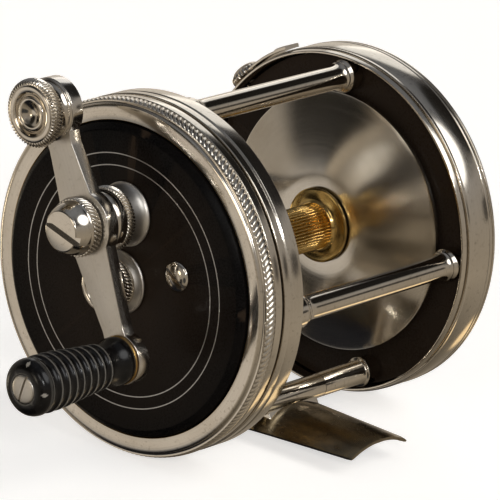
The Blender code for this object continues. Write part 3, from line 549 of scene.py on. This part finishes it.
def bearing_cap(name, node, body, way):
    """Cap with two rows of knurling and a dished end; way is its outward direction along X."""
    cap = where(node)
    low, top = (cap.back, cap.front + 0.5) if way > 0 else (cap.front, cap.back)
    radius, bore = cap.radius, 2.7

    def at(depth):
        return top - way * depth

    profile = [(0.0, at(0.4)), (1.4, at(0.36))]
    profile += bend((radius - 1.2, at(0.3)), (radius - 0.95, at(0.02)), (radius - 0.7, at(0.0)))
    profile += bend((radius - 0.5, at(0.02)), (radius - 0.14, at(0.05)), (radius - 0.08, at(0.45)))
    profile += [(radius - 0.22, at(0.5))]
    profile += [(radius - 0.22, low), (bore, low), (bore, at(1.0)), (0.0, at(1.0))]
    lathe(name, profile, cap.centre, body, nickel, [node], SMALL)
    row = 0.5 * (abs(top - low) - 0.6)
    for number in (1, 2):
        ends = sorted((at(0.5 + (number - 1) * row), at(0.5 + number * row - 0.1)))
        knurled_band(f"{name}_knurl_{number}", cap.centre, body, radius, *ends, 42, 0.32,
                     lean=-25.0 * way, crown=0.26, keen=1.0)


def crank_bearing():
    """Tall post for the crank: a satin foot, a rope bead and a polished drum."""
    post = where("crank_post")
    rim, top, face = post.radius, post.front, post.back + 2.9
    bore, shank, bead, wide = 2.5, 3.4, face + 2.75, 1.45
    profile = [(bore, top), (rim - 0.4, top), (rim - 0.28, top - 0.12)]
    profile += bend((rim - 0.52, top - 0.36), (rim - 0.26, top - 0.8),
                    (rim - 0.36, bead + wide + 0.1))
    profile += [(rim - 0.5, bead + wide), (rim - 0.5, bead), (shank, bead), (bore, bead)]
    lathe("crank_bearing_neck", profile, post.centre, "frame", nickel, ["crank_post"])
    profile = [(bore, bead - 0.02), (rim - 0.8, bead - 0.02)]
    profile += bend((rim - 0.8, bead - 0.3), (rim - 0.7, face + 0.75), (rim - 0.16, face + 0.3),
                    12)
    profile += bend((rim - 0.12, face + 0.32), (rim - 0.02, face + 0.3), (rim - 0.06, face + 0.1),
                    5)
    profile += [(rim - 0.1, face), (shank, face), (shank, post.back), (bore, post.back)]
    lathe("crank_bearing_foot", profile, post.centre, "frame", nickel_satin)
    knurled_band("crank_bearing_knurl", post.centre, "frame", rim - 0.02, bead, bead + wide, 56,
                 0.32, lean=-KNURL_SLANT, crown=0.36, keen=1.0)


def bridge_screws():
    """Oval slotted heads of the two screws that hold the bridge to the head plate."""
    for end in ("front", "rear"):
        node = f"bridge_screw_{end}"
        screw = where(node)
        seat, top, rim = where("head_plate").front + 0.05, screw.front, screw.radius
        profile = [(0.0, top)] + bend((0.4, top), (1.6, top - 0.06), (rim - 0.04, seat + 0.34), 9)
        profile += [(rim, seat + 0.2), (rim - 0.1, seat), (0.9, seat), (0.9, screw.back),
                    (0.0, screw.back)]
        obj = lathe(f"plate_screw_{end}", profile, screw.centre, "frame", nickel, [node], SMALL)
        cut(obj, slot_tool(screw.centre, top - 0.6, top + 1.0, 0.28, -30.0))


# ---- tail side ----

def tail_ring():
    """Broad band round the tail plate, with a turned lip in front and a bead behind."""
    ring = where("tail_ring")
    rim, lip, back = ring.radius, ring.front, ring.back
    wall, bore = rim - 0.8, rim - 5.7
    profile = rounded([
        (wall, lip, 0.1), (rim - 0.45, lip, 0.12), (rim - 0.3, lip - 0.7), (rim - 0.62, lip - 0.8),
        (rim - 0.62, lip - 1.05), (rim - 0.06, lip - 1.12, 0.14), (rim - 0.1, lip - 1.6, 0.1),
        (rim - 0.04, lip - 1.68), (rim - 0.04, back + 1.5), (rim - 0.2, back + 1.42),
        (rim, back + 1.3, 0.14), (rim, back + 0.85, 0.14), (rim - 0.3, back + 0.75),
        (rim - 0.3, back + 0.62), (rim - 0.05, back + 0.52, 0.1), (rim - 0.05, back + 0.2, 0.16),
        (rim - 0.3, back, 0.15), (bore, back, 0.25), (bore, back + 0.9), (wall, back + 0.9, 0.2)])
    obj = lathe("tail_band", profile, ring.centre, "frame", nickel_turned, ["tail_ring"], FINE)
    cut(obj, latch_hole())
    for number in range(1, 6):
        node = f"tail_screw_{number}"
        screw = where(node)
        seat, top, head = back - 0.02, screw.back, screw.radius
        profile = [(0.0, top)] + bend((0.3, top), (1.1, top + 0.06), (head - 0.05, seat - 0.3), 7)
        profile += [(head, seat - 0.15), (head - 0.1, seat), (0.8, seat), (0.8, screw.front),
                    (0.0, screw.front)]
        obj = lathe(f"frame_screw_{number}", profile, screw.centre, "frame", nickel, [node], SMALL)
        cut(obj, slot_tool(screw.centre, top - 1.0, top + 0.4, 0.16, 72.0 * number))


def latch_angle():
    """Direction of the latch screw from the spool's axis, in degrees."""
    y, z = where("latch_thumb_screw").centre
    return math.degrees(math.atan2(z - AXIS[1], y - AXIS[0]))


def latch_hole():
    """A rod through the tail ring and plate where the latch screw goes."""
    screw = where("latch_thumb_screw")
    x = 0.5 * (screw.back + screw.front)
    inner, outer = ((x, *polar(radius, latch_angle(), AXIS)) for radius in (22.2, 27.0))
    return rods_tool([(1.1, inner, outer)])


def tail_plate():
    """Black plate with the click's pocket and slot."""
    plate = where("tail_plate")
    front, face, rim = plate.front, plate.back, plate.radius
    shoulder = where("tail_ring").back + 1.2
    boss, bore, pocket, floor = rim - 4.9, 3.2, 12.0, face + 2.4
    profile = rounded([
        (pocket, front, 0.15), (rim, front), (rim, shoulder), (boss, shoulder),
        (boss, face + 0.4, 0.15), (boss - 0.4, face, 0.2), (13.4, face, 0.1),
        (13.2, face + 0.14, 0.06), (13.0, face, 0.1), (bore, face), (bore, floor),
        (pocket, floor)])
    obj = lathe("tail_plate_black", profile, plate.centre, "frame", rubber_plate, ["tail_plate"],
                FINE)
    cut(obj, latch_hole())
    y, z = where("click_button").centre
    cut(obj, slot_tool((y + 0.5 * CLICK_TRAVEL, z), face - 1.0, face + 3.0, 1.0, 0.0,
                       1.0 + 0.5 * CLICK_TRAVEL))


def tail_bearing():
    """Spool bearing and its cap on the tail side, like those on the head side."""
    bush = where("tail_bushing")
    rim, face, top = bush.radius, bush.front - 3.2, bush.back
    bore, shank = PIVOT_BORE_R, rim - 1.75
    profile = [(bore, bush.front), (shank, bush.front), (shank, face), (rim - 0.12, face)]
    profile += bend((rim, face - 0.2), (rim - 0.02, face - 0.62), (rim - 0.42, face - 0.55), 7)
    profile += bend((rim - 0.55, face - 0.42), (3.9, face - 0.6), (2.6, face - 0.7))
    profile += [(2.4, face - 0.75), (2.4, top), (bore, top)]
    lathe("spool_bearing_tail", profile, bush.centre, "frame", nickel, ["tail_bushing"])
    bearing_cap("bearing_cap_tail", "spool_cap_tail", "tail_cap", -1.0)


def click_knob():
    """Button that slides the click in and out of the ratchet."""
    button = where("click_button")
    radius, top, seat = button.radius, button.back, where("tail_plate").back - 0.3
    profile = [(0.0, top + 0.12), (0.7, top + 0.1)]
    profile += bend((0.95, top), (radius - 0.2, top), (radius - 0.18, top + 0.35), 6)
    profile += [(radius - 0.18, seat), (0.7, seat), (0.7, button.front), (0.0, button.front)]
    lathe("click_knob", profile, button.centre, "click", nickel, ["click_button"], SMALL)
    knurled_band("click_knob_knurl", button.centre, "click", radius, top + 0.3, seat - 0.05, 30,
                 0.13, lean=0.0, crown=0.12, per_rib=6)


def latch():
    """Fluted thumb screw in the tail ring, and the spring leaf that lies on the ring."""
    node = where("latch_thumb_screw")
    x = 0.5 * (node.back + node.front)
    ring = where("tail_ring").radius
    seat, top = ring + 0.3, ring + 2.1
    profile = [(0.0, top)] + bend((0.5, top), (1.9, top - 0.1), (2.3, top - 0.75), 8)
    profile += [(2.45, top - 0.85, 0.4), (2.68, top - 1.05, 1.0), (2.74, seat + 0.2, 1.0),
                (2.55, seat, 0.4), (0.8, seat), (0.8, 23.2), (0.0, 23.2)]
    screw = lathe("thumb_screw", profile, (0.0, 0.0), "latch_screw", nickel, ["latch_thumb_screw"],
                  steps=24 * 10, relief=ribs(24, 0.2, keen=0.9))
    turn = Matrix.Translation((x * MM, AXIS[0] * MM, AXIS[1] * MM))
    turn @= Matrix.Rotation(math.radians(latch_angle() - 90.0), 4, "X")
    turn @= Matrix.Rotation(-0.5 * math.pi, 4, "Y")
    screw.data.transform(turn)

    leaf = where("latch_spring")
    half = 0.5 * (leaf.front - leaf.back) - 0.02
    middle = 0.5 * (leaf.front + leaf.back)
    high = ring + 0.65
    root, tip = (math.degrees(math.acos((y - AXIS[0]) / high)) for y in (leaf.low.y, leaf.high.y))
    count = 40
    verts, grain = [], []
    section = rounded([(-half, 0.0, 0.12), (half, 0.0, 0.12), (half, 1.0, 0.2), (-half, 1.0, 0.2)])
    for i in range(count + 1):
        share = i / count
        low = ring + 0.16 + 0.08 * math.sin(math.pi * share)
        thick = 0.42 + 0.2 * min(1.0, max(0.0, (share - 0.7) / 0.06))
        for across, level in section:
            y, z = polar(low + thick * level, root + (tip - root) * share)
            verts.append((middle + across, y, z))
            grain.append((ring * math.radians(tip - root) * share, 0.0, across))
    size = len(section)
    faces = skin(size, count + 1)
    faces += [list(range(size)), list(range(count * size, (count + 1) * size))]
    add_piece("latch_leaf_blade", verts, faces, grain, AXIS, "latch_leaf", nickel,
              ["latch_spring"])


# ---- cage and foot ----

def pillars():
    """Pillars that swell into a rounded collar at each end."""
    for name in ("pillar_top", "pillar_front", "pillar_rear", "pillar_foot_front",
                 "pillar_foot_rear"):
        node = where(name)
        collar = node.radius
        waist = []
        if "foot" not in name:
            end = rounded([(0.0, 0.0), (collar - 0.12, 0.0, 0.1), (collar, 0.35, 0.3),
                           (collar + 0.02, 2.2, 0.5), (collar - 0.3, 2.75, 0.3),
                           (PILLAR_R + 0.4, 2.95)], closed=False)
            end += bend((PILLAR_R + 0.36, 3.0), (PILLAR_R + 0.02, 3.3), (PILLAR_R, 4.9), 9)
        else:
            end = rounded([(0.0, 0.0), (collar - 0.1, 0.0, 0.08), (collar - 0.06, 2.3),
                           (collar + 0.02, 2.4, 0.1), (collar + 0.02, 2.75, 0.15),
                           (PILLAR_R + 0.1, 2.9, 0.05), (PILLAR_R, 3.1)], closed=False)
            half = where("foot_saddle_front").front
            waist = [(PILLAR_R, half + 0.08), (NECK_R, half + 0.08), (NECK_R, -half - 0.08),
                     (PILLAR_R, -half - 0.08)]
        profile = [(r, node.front - d) for r, d in end] + waist
        profile += [(r, node.back + d) for r, d in reversed(end)]
        lathe(f"{name}_turned", profile, node.centre, "frame", nickel, [name], SMALL)


def saddles():
    """Sleeves round the foot pillars, each with a short web that stands on the arched foot."""
    for side in ("front", "rear"):
        node = where(f"foot_saddle_{side}")
        centre = where(f"pillar_foot_{side}").centre
        half = node.front
        profile = rounded([(SADDLE_BORE_R, half), (PILLAR_R + 0.01, half, 0.06),
                           (PILLAR_R + 0.01, -half, 0.06), (SADDLE_BORE_R, -half)])
        lathe(f"saddle_sleeve_{side}", profile, centre, "frame", nickel, [f"foot_saddle_{side}"],
              SMALL)
        reach, low = 5.35, -2.0
        outline = rounded([(-2.3, low), (2.3, low), (PILLAR_R - 0.1, -0.95, 1.0), (1.56, -0.5),
                           (-1.56, -0.5), (-PILLAR_R + 0.1, -0.95, 1.0)])
        slab(f"saddle_web_{side}", outline, -reach, reach, 0.15, centre, "frame", nickel)


def foot():
    """Arched sheet, tapered to both ends and rounded at its edges."""
    node = where("foot")
    length, wide, narrow = node.high.y, node.high.x, 5.9
    thick, arch, seat = 0.7, 12.5, 1.0      # sheet, radius of the arch, half the flat crest
    middle = math.sqrt(arch ** 2 - seat ** 2)
    strips, stations, edge = 28, 60, 0.12
    size = 2 * (strips + 1)
    verts, grain = [], []
    for i in range(stations + 1):
        share = 2.0 * i / stations - 1.0
        ends = edge * max(0.0, (abs(share) - 0.985) / 0.015)
        taper = max(0.0, (abs(share) - 0.25) / 0.75)
        half = wide + (narrow - wide) * taper
        section = []
        for side, cover in ((1.0, thick), (-1.0, 0.0)):
            for k in range(strips + 1):
                across = side * (2.0 * k / strips - 1.0)
                inset = edge * max(0.0, (abs(across) - 0.93) / 0.07) ** 2
                x = across * half
                level = math.sqrt(arch ** 2 - x ** 2) - middle if abs(x) > seat else 0.0
                slope = math.asin(x / arch) if abs(x) > seat else 0.0
                lift = cover - math.copysign(inset + ends, cover - 0.5 * thick)
                section.append((x + lift * math.sin(slope), share * length,
                                level + lift * math.cos(slope)))
        verts += section
        grain += [(0.0, share * length, 1.4 * v[0]) for v in section]
    faces = skin(size, stations + 1)
    for base in (0, stations * size):
        for k in range(strips):
            faces.append((base + k, base + k + 1, base + size - 2 - k, base + size - 1 - k))
    add_piece("foot_sheet", verts, faces, grain, (0.0, 0.0), "frame", nickel_dark, ["foot"])


# ---- spool ----

def spool():
    """Ribbed brass arbor, with a flared collar and a dished flange at each end."""
    arbor = where("spool_arbor")
    bore, sleeve = 2.3, 0.1
    front, back = arbor.front - sleeve, arbor.back + sleeve
    stations = 6
    profile = [(bore, front)]
    profile += [(ARBOR_R, front - i * (front - back) / stations, 1.0) for i in range(stations + 1)]
    profile += [(bore, back)]
    lathe("arbor_ribbed", profile, arbor.centre, "spool", brass, ["spool_arbor"], steps=42 * 8,
          relief=ribs(42, 0.34, keen=1.0))
    for side, way in (("head", 1.0), ("tail", -1.0)):
        collar = where(f"arbor_collar_{side}")
        outer = collar.front if way > 0 else collar.back
        depth = collar.front - collar.back + sleeve + 0.2
        section = [(bore, 0.0), (COLLAR_R - 0.06, 0.0), (COLLAR_R, 0.08), (COLLAR_R, 0.32)]
        section += bend((COLLAR_R - 0.14, 0.42), (ARBOR_R + 0.5, 0.6),
                        (ARBOR_R + 0.22, depth - 0.1), 12)
        section += [(ARBOR_R + 0.1, depth), (ARBOR_R - 0.5, depth), (bore, depth)]
        lathe(f"brass_collar_{side}", [(r, outer - way * d) for r, d in section], collar.centre,
              "spool", brass, [f"arbor_collar_{side}"])
        flange = where(f"spool_flange_{side}")
        near, far = (flange.back, flange.front) if way > 0 else (flange.front, flange.back)
        rim, sheet = flange.radius, 0.8
        reach = abs(far - near) - sheet
        inside = dish(COLLAR_R + 0.3, rim - 0.25, reach)
        section = [(bore, 0.0)] + inside
        section += bend((rim - 0.1, reach + 0.02), (rim, reach + 0.3),
                        (rim - 0.02, reach + 0.62), 5)
        section += [(rim - 0.15, reach + sheet)]
        section += [(r, d + sheet) for r, d in reversed(inside)] + [(bore, sheet)]
        lathe(f"flange_dished_{side}", [(r, near + way * d) for r, d in section], flange.centre,
              "spool", nickel_flange, [f"spool_flange_{side}"], FINE)


def dish(start, end, reach, count=26):
    """Depth of a flange's face below its hub, bowed like a trumpet's bell."""
    flat = start + 1.3
    shares = [i / (count - 1) for i in range(count)]
    return [(start, 0.0)] + [(flat + (end - flat) * t, reach * t ** 1.35) for t in shares]


# ---- crank ----

def crank_arm():
    """Flat satin arm with a round hub and a round pad at each end."""
    arm = where("crank_arm")
    reach = math.dist(where("counterweight").centre, CRANK)
    other = math.dist(where("handle_grip").centre, CRANK)
    pad, tail = 4.5, 3.6
    side = arc((reach, 0.0), pad, 0.0, 146.0, 15)
    side += [(reach - pad - 0.9, 2.25, 3.0)]
    side += arc((0.0, 0.0), ARM_HUB_R, 39.0, 140.0, 14)
    side += [(-other + 4.3, 1.95, 3.0)]
    side += arc((-other, 0.0), tail, 35.0, 180.0, 13)
    side = rounded(side, closed=False)
    side += [(s, -t) for s, t in reversed(side[1:-1])]
    turn = math.radians(CRANK_ANGLE)
    c, s = math.cos(turn), math.sin(turn)
    outline = [(a * c - b * s, a * s + b * c) for a, b in side]
    slab("arm_blade", outline, arm.back, arm.front, 0.09, CRANK, "crank", nickel_arm,
         ["crank_arm"], run=(c, s))


def crank_nut():
    """Slotted nut: a knurled skirt, a polished shoulder and a flat face."""
    nut = where("crank_nut")
    seat, face, rim = nut.back, nut.front, nut.radius
    skirt = seat + 1.5
    profile = [(0.0, face), (2.75, face)]
    profile += bend((2.84, face - 0.02), (2.98, face - 0.06), (3.03, face - 0.22), 5)
    profile += bend((3.08, face - 0.3), (3.75, face - 1.3), (rim - 0.42, skirt + 0.12), 10)
    profile += [(rim - 0.32, skirt), (rim - 0.32, seat + 0.02), (2.0, seat), (2.0, seat + 2.2),
                (0.0, seat + 2.2)]
    obj = lathe("nut_body", profile, nut.centre, "crank", nickel, ["crank_nut"])
    cut(obj, slot_tool(nut.centre, face - 0.65, face + 1.0, 0.62, -14.0))
    knurled_band("nut_knurl", nut.centre, "crank", rim, seat + 0.05, skirt + 0.05, 40, 0.3,
                 lean=-35.0, crown=0.22, keen=1.0)


def counterweight():
    """Round weight with a flat front ring, a recessed boss, a rope-knurled bead and a waist."""
    node = where("counterweight")
    rim, front, seat = node.radius, node.front, where("crank_nut").back
    face = rim - 0.8
    profile = [(0.0, front - 1.0), (1.0, front - 0.62)]
    profile += bend((1.5, front - 0.3), (1.95, front + 0.06), (2.32, front - 0.12), 8)
    profile += bend((2.42, front - 0.25), (2.62, front - 1.0), (2.95, front - 0.3), 8)
    profile += bend((3.06, front - 0.06), (3.5, front + 0.1), (face - 0.14, front - 0.02), 7)
    profile += [(face - 0.04, front - 0.12), (face - 0.08, front - 0.8), (face - 0.08, seat + 1.6)]
    profile += bend((face + 0.1, seat + 1.5), (face - 0.3, seat + 1.1), (face - 0.05, seat + 0.4),
                    9)
    profile += bend((face + 0.02, seat + 0.2), (face + 0.3, seat + 0.1),
                    (face + 0.36, seat - 0.12), 5)
    profile += [(face + 0.3, seat - 0.28), (1.1, seat - 0.28), (1.1, node.back), (0.0, node.back)]
    lathe("weight_body", profile, node.centre, "crank", nickel, ["counterweight"])
    knurled_band("weight_knurl", node.centre, "crank", rim, seat + 1.5, front - 0.12, 56, 0.42,
                 lean=-KNURL_SLANT, crown=0.66, keen=1.0)


def grip():
    """Ribbed hard-rubber grip on a slotted spindle, with a thin brass ring at the arm."""
    node = where("handle_grip")
    seat, end = node.back, node.front + 0.1
    bore, cup, floor = 1.5, 2.06, end - 1.5
    first, pitch, grooves = end - 2.1, 1.52, 9

    def girth(x):
        """Radius of the grip before its grooves are cut."""
        stations = ((seat + 2.6, 3.12), (seat + 8.6, 3.62), (end - 6.0, 4.08), (end - 3.4, 4.13),
                    (end - 2.1, 4.02))
        for (x0, r0), (x1, r1) in zip(stations, stations[1:]):
            if x <= x1:
                return r0 + (r1 - r0) * (x - x0) / (x1 - x0)
        return stations[-1][1]

    profile = [(cup, end - 0.1), (cup + 0.06, end - 0.03)]
    profile += bend((cup + 0.3, end), (4.06, end - 0.06), (4.08, first + 0.3), 12)
    for groove in range(grooves):
        x = first - groove * pitch
        profile += [(girth(x) - 0.16, x + 0.2), (girth(x) - 0.03, x + 0.09),
                    (girth(x) - 0.03, x - 0.09), (girth(x) - 0.16, x - 0.2)]
        if groove < grooves - 1:
            for share in (0.24, 0.36, 0.5, 0.64, 0.76):
                cove = 0.36 * math.sin(math.pi * share) ** 0.6
                profile.append((girth(x - share * pitch) - cove, x - share * pitch))
    last = first - (grooves - 1) * pitch
    profile += bend((3.1, last - 0.5), (2.95, seat + 2.9), (3.3, seat + 1.9), 7)
    profile += bend((3.42, seat + 1.5), (3.56, seat + 0.7), (3.32, seat + 0.2), 7)
    profile += [(3.1, seat + 0.12), (bore, seat + 0.12), (bore, floor), (cup, floor)]
    lathe("grip_ribbed", profile, node.centre, "grip", rubber_grip, ["handle_grip"])
    profile = rounded([(bore, seat + 0.12), (3.42, seat + 0.2, 0.08), (3.52, seat + 0.04, 0.08),
                       (3.4, seat - 0.12, 0.05), (bore, seat - 0.12)])
    lathe("grip_ring", profile, node.centre, "grip", worn_edge)
    spindle = where("grip_spindle")
    top, head = spindle.front, spindle.radius
    profile = [(0.0, top)] + bend((0.5, top), (1.5, top - 0.01), (head - 0.08, top - 0.14), 9)
    profile += [(head, top - 0.24), (head, top - 1.4), (1.15, top - 1.4), (1.15, spindle.back),
                (0.0, spindle.back)]
    obj = lathe("spindle_slotted", profile, spindle.centre, "crank", nickel_satin,
                ["grip_spindle"], SMALL)
    cut(obj, slot_tool(spindle.centre, top - 0.45, top + 1.0, 0.17, 75.0))


# ---- CAD nodes that stay ----

def dress_cad_nodes():
    """The inner works keep their CAD shapes and get these finishes."""
    finishes = {
        "main_gear": brass, "pinion": steel, "click_ratchet": steel, "click_pawl": steel,
        "click_spring": steel, "crank_shaft": steel, "spool_axle": steel,
        "inner_head_plate": nickel_satin, "gear_bridge": nickel_satin,
        "bridge_post_front": nickel, "bridge_post_rear": nickel,
    }
    finishes.update({f"head_ring_screw_{n}": nickel for n in range(1, 6)})
    for name, mat in finishes.items():
        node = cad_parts[name]
        for slot in node.material_slots:
            slot.material = mat


# ---- studio ----

FLOOR_LEVEL = AXIS[1] - where("tail_ring").radius     # the rings stand on the floor

# Round patches of the room: azimuth, elevation, half angle and blur in degrees, and colour. The
# dark ones are laid first and the lights are added over them.
SHADES = (
    (164.0, 42.0, 16.0, 6.0, (0.012, 0.011, 0.010)),
    (137.0, 6.0, 4.0, 3.0, (0.05, 0.045, 0.04)),
    (300.0, -52.0, 24.0, 10.0, (0.012, 0.012, 0.014)),
    (318.0, 14.0, 16.0, 9.0, (0.02, 0.018, 0.015)),
    (20.0, -18.0, 9.0, 8.0, (0.05, 0.05, 0.05)),
)
LIGHTS = (
    (100.0, 46.0, 15.0, 8.0, (2.8, 2.8, 2.8)),
    (216.0, 34.0, 14.0, 4.0, (0.95, 0.95, 0.94)),
    (222.0, 8.0, 16.0, 6.0, (0.34, 0.32, 0.29)),
    (22.0, 34.0, 6.0, 5.0, (2.6, 2.5, 2.4)),
    (345.0, 2.0, 4.0, 4.0, (3.2, 2.8, 2.2)),
    (284.0, -18.0, 3.5, 3.0, (4.0, 3.5, 2.6)),
    (293.0, -34.0, 7.0, 2.0, (0.36, 0.30, 0.22)),
    (170.0, -43.0, 5.0, 3.0, (1.1, 0.8, 0.42)),
    (322.0, -19.0, 11.0, 10.0, (0.28, 0.27, 0.26)),
)
# Colour of the rest of the room, from straight down at 0 to straight up at 1
ROOM = ((0.0, (0.10, 0.085, 0.065)), (0.3, (0.36, 0.31, 0.245)), (0.5, (0.33, 0.29, 0.24)),
        (0.69, (0.32, 0.30, 0.28)), (0.77, (0.10, 0.095, 0.09)), (0.86, (0.07, 0.07, 0.075)),
        (1.0, (0.2, 0.21, 0.23)))


def heading(azimuth, elevation):
    """Direction from angles in degrees: from +X towards +Y, then up."""
    a, e = math.radians(azimuth), math.radians(elevation)
    return Vector((math.cos(a) * math.cos(e), math.sin(a) * math.cos(e), math.sin(e)))


def studio():
    """Pale floor, and a dim room with soft lights for the metal to reflect."""
    floor = add_object("floor", bpy.data.meshes.new("floor"))
    work = bmesh.new()
    bmesh.ops.create_circle(work, cap_ends=True, segments=96, radius=6.0,
                            matrix=Matrix.Translation((0.0, 0.0, (FLOOR_LEVEL - 0.15) * MM)))
    work.to_mesh(floor.data)
    work.free()
    look = Shader("paper_floor", "")
    paper = look.noise(look.place(), 900.0, 4.0)
    lit = look.node("ShaderNodeLightPath").outputs["Is Camera Ray"]
    look.surface(Base_Color=look.mix(look.span(paper, 0.3, 0.7), (0.84, 0.80, 0.74),
                                     (0.88, 0.84, 0.78)),
                 Roughness=0.9, Specular_IOR_Level=0.1, Normal=look.bump(paper, 0.05 * MM, 0.2),
                 Emission_Color=(1.0, 1.0, 1.0, 1.0),
                 Emission_Strength=look.maths("MULTIPLY", lit, 0.62))
    floor.visible_glossy = False
    floor.data.materials.append(look.mat)
    room()
    flash()


def room():
    """White to the camera. The reel sees a gradient with soft lights and dark patches."""
    world = bpy.data.worlds.new("room")
    bpy.context.scene.world = world
    world.use_nodes = True
    look = Nodes(world.node_tree)
    look.tree.nodes.clear()
    coords = look.node("ShaderNodeTexCoord").outputs["Generated"]
    height = look.node("ShaderNodeSeparateXYZ", Vector=coords).outputs["Z"]
    ramp = look.node("ShaderNodeValToRGB", Fac=look.span(height, -1.0, 1.0))
    steps = ramp.color_ramp.elements
    steps.remove(steps[1])
    steps[0].position, steps[0].color = ROOM[0][0], (*ROOM[0][1], 1.0)
    for position, colour in ROOM[1:]:
        steps.new(position).color = (*colour, 1.0)
    colour = ramp.outputs["Color"]
    for blend, patches in (("MIX", SHADES), ("ADD", LIGHTS)):
        for azimuth, elevation, half, blur, glow in patches:
            near = look.node("ShaderNodeVectorMath")
            near.operation = "DOT_PRODUCT"
            look.put(near.inputs[0], coords)
            look.put(near.inputs[1], heading(azimuth, elevation))
            disc = look.span(near.outputs["Value"], math.cos(math.radians(half + blur)),
                             math.cos(math.radians(half)), shape="SMOOTHSTEP")
            colour = look.mix(disc, colour, glow, blend)
    mix = look.node("ShaderNodeMixShader",
                    Fac=look.node("ShaderNodeLightPath").outputs["Is Camera Ray"])
    for number, shown in ((1, colour), (2, (1.0, 1.0, 1.0, 1.0))):
        look.put(mix.inputs[number],
                 look.node("ShaderNodeBackground", Color=shown).outputs["Background"])
    look.node("ShaderNodeOutputWorld", Surface=mix.outputs["Shader"])


def flash():
    """Small soft light beside the camera, which gives the sparks on knurls and edges."""
    data = bpy.data.lights.new("flash", "AREA")
    data.shape = "DISK"
    data.size = 0.07
    data.energy = 0.5
    lamp = add_object("flash", data)
    lamp.location = heading(45.0, 26.0) * 0.62
    lamp.rotation_mode = "QUATERNION"
    lamp.rotation_quaternion = (-lamp.location).to_track_quat("-Z", "Y")


def camera():
    """The photographer's view: the crank's side, from the front and a little above."""
    back, roll = heading(40.18, 19.25), math.radians(5.2)
    distance, focal = 634.4, 325.19
    face = where("head_plate")
    aim = Vector((face.front - 12.56, face.centre[0] + 12.3, face.centre[1] + 5.77)) * MM
    data = bpy.data.cameras.new("camera")
    data.lens = focal
    data.clip_start = 0.01
    eye = add_object("camera", data)
    eye.location = aim + back * distance * MM
    eye.rotation_mode = "QUATERNION"
    eye.rotation_quaternion = (-back).to_track_quat("-Z", "Y") @ Quaternion((0.0, 0.0, 1.0), roll)
    bpy.context.scene.camera = eye
    bpy.context.scene.view_settings.view_transform = "Standard"


head_rings()
head_plates()
head_bearing()
crank_bearing()
bridge_screws()
tail_ring()
tail_plate()
tail_bearing()
click_knob()
latch()
pillars()
saddles()
foot()
spool()
crank_arm()
crank_nut()
counterweight()
grip()
dress_cad_nodes()
studio()
camera()
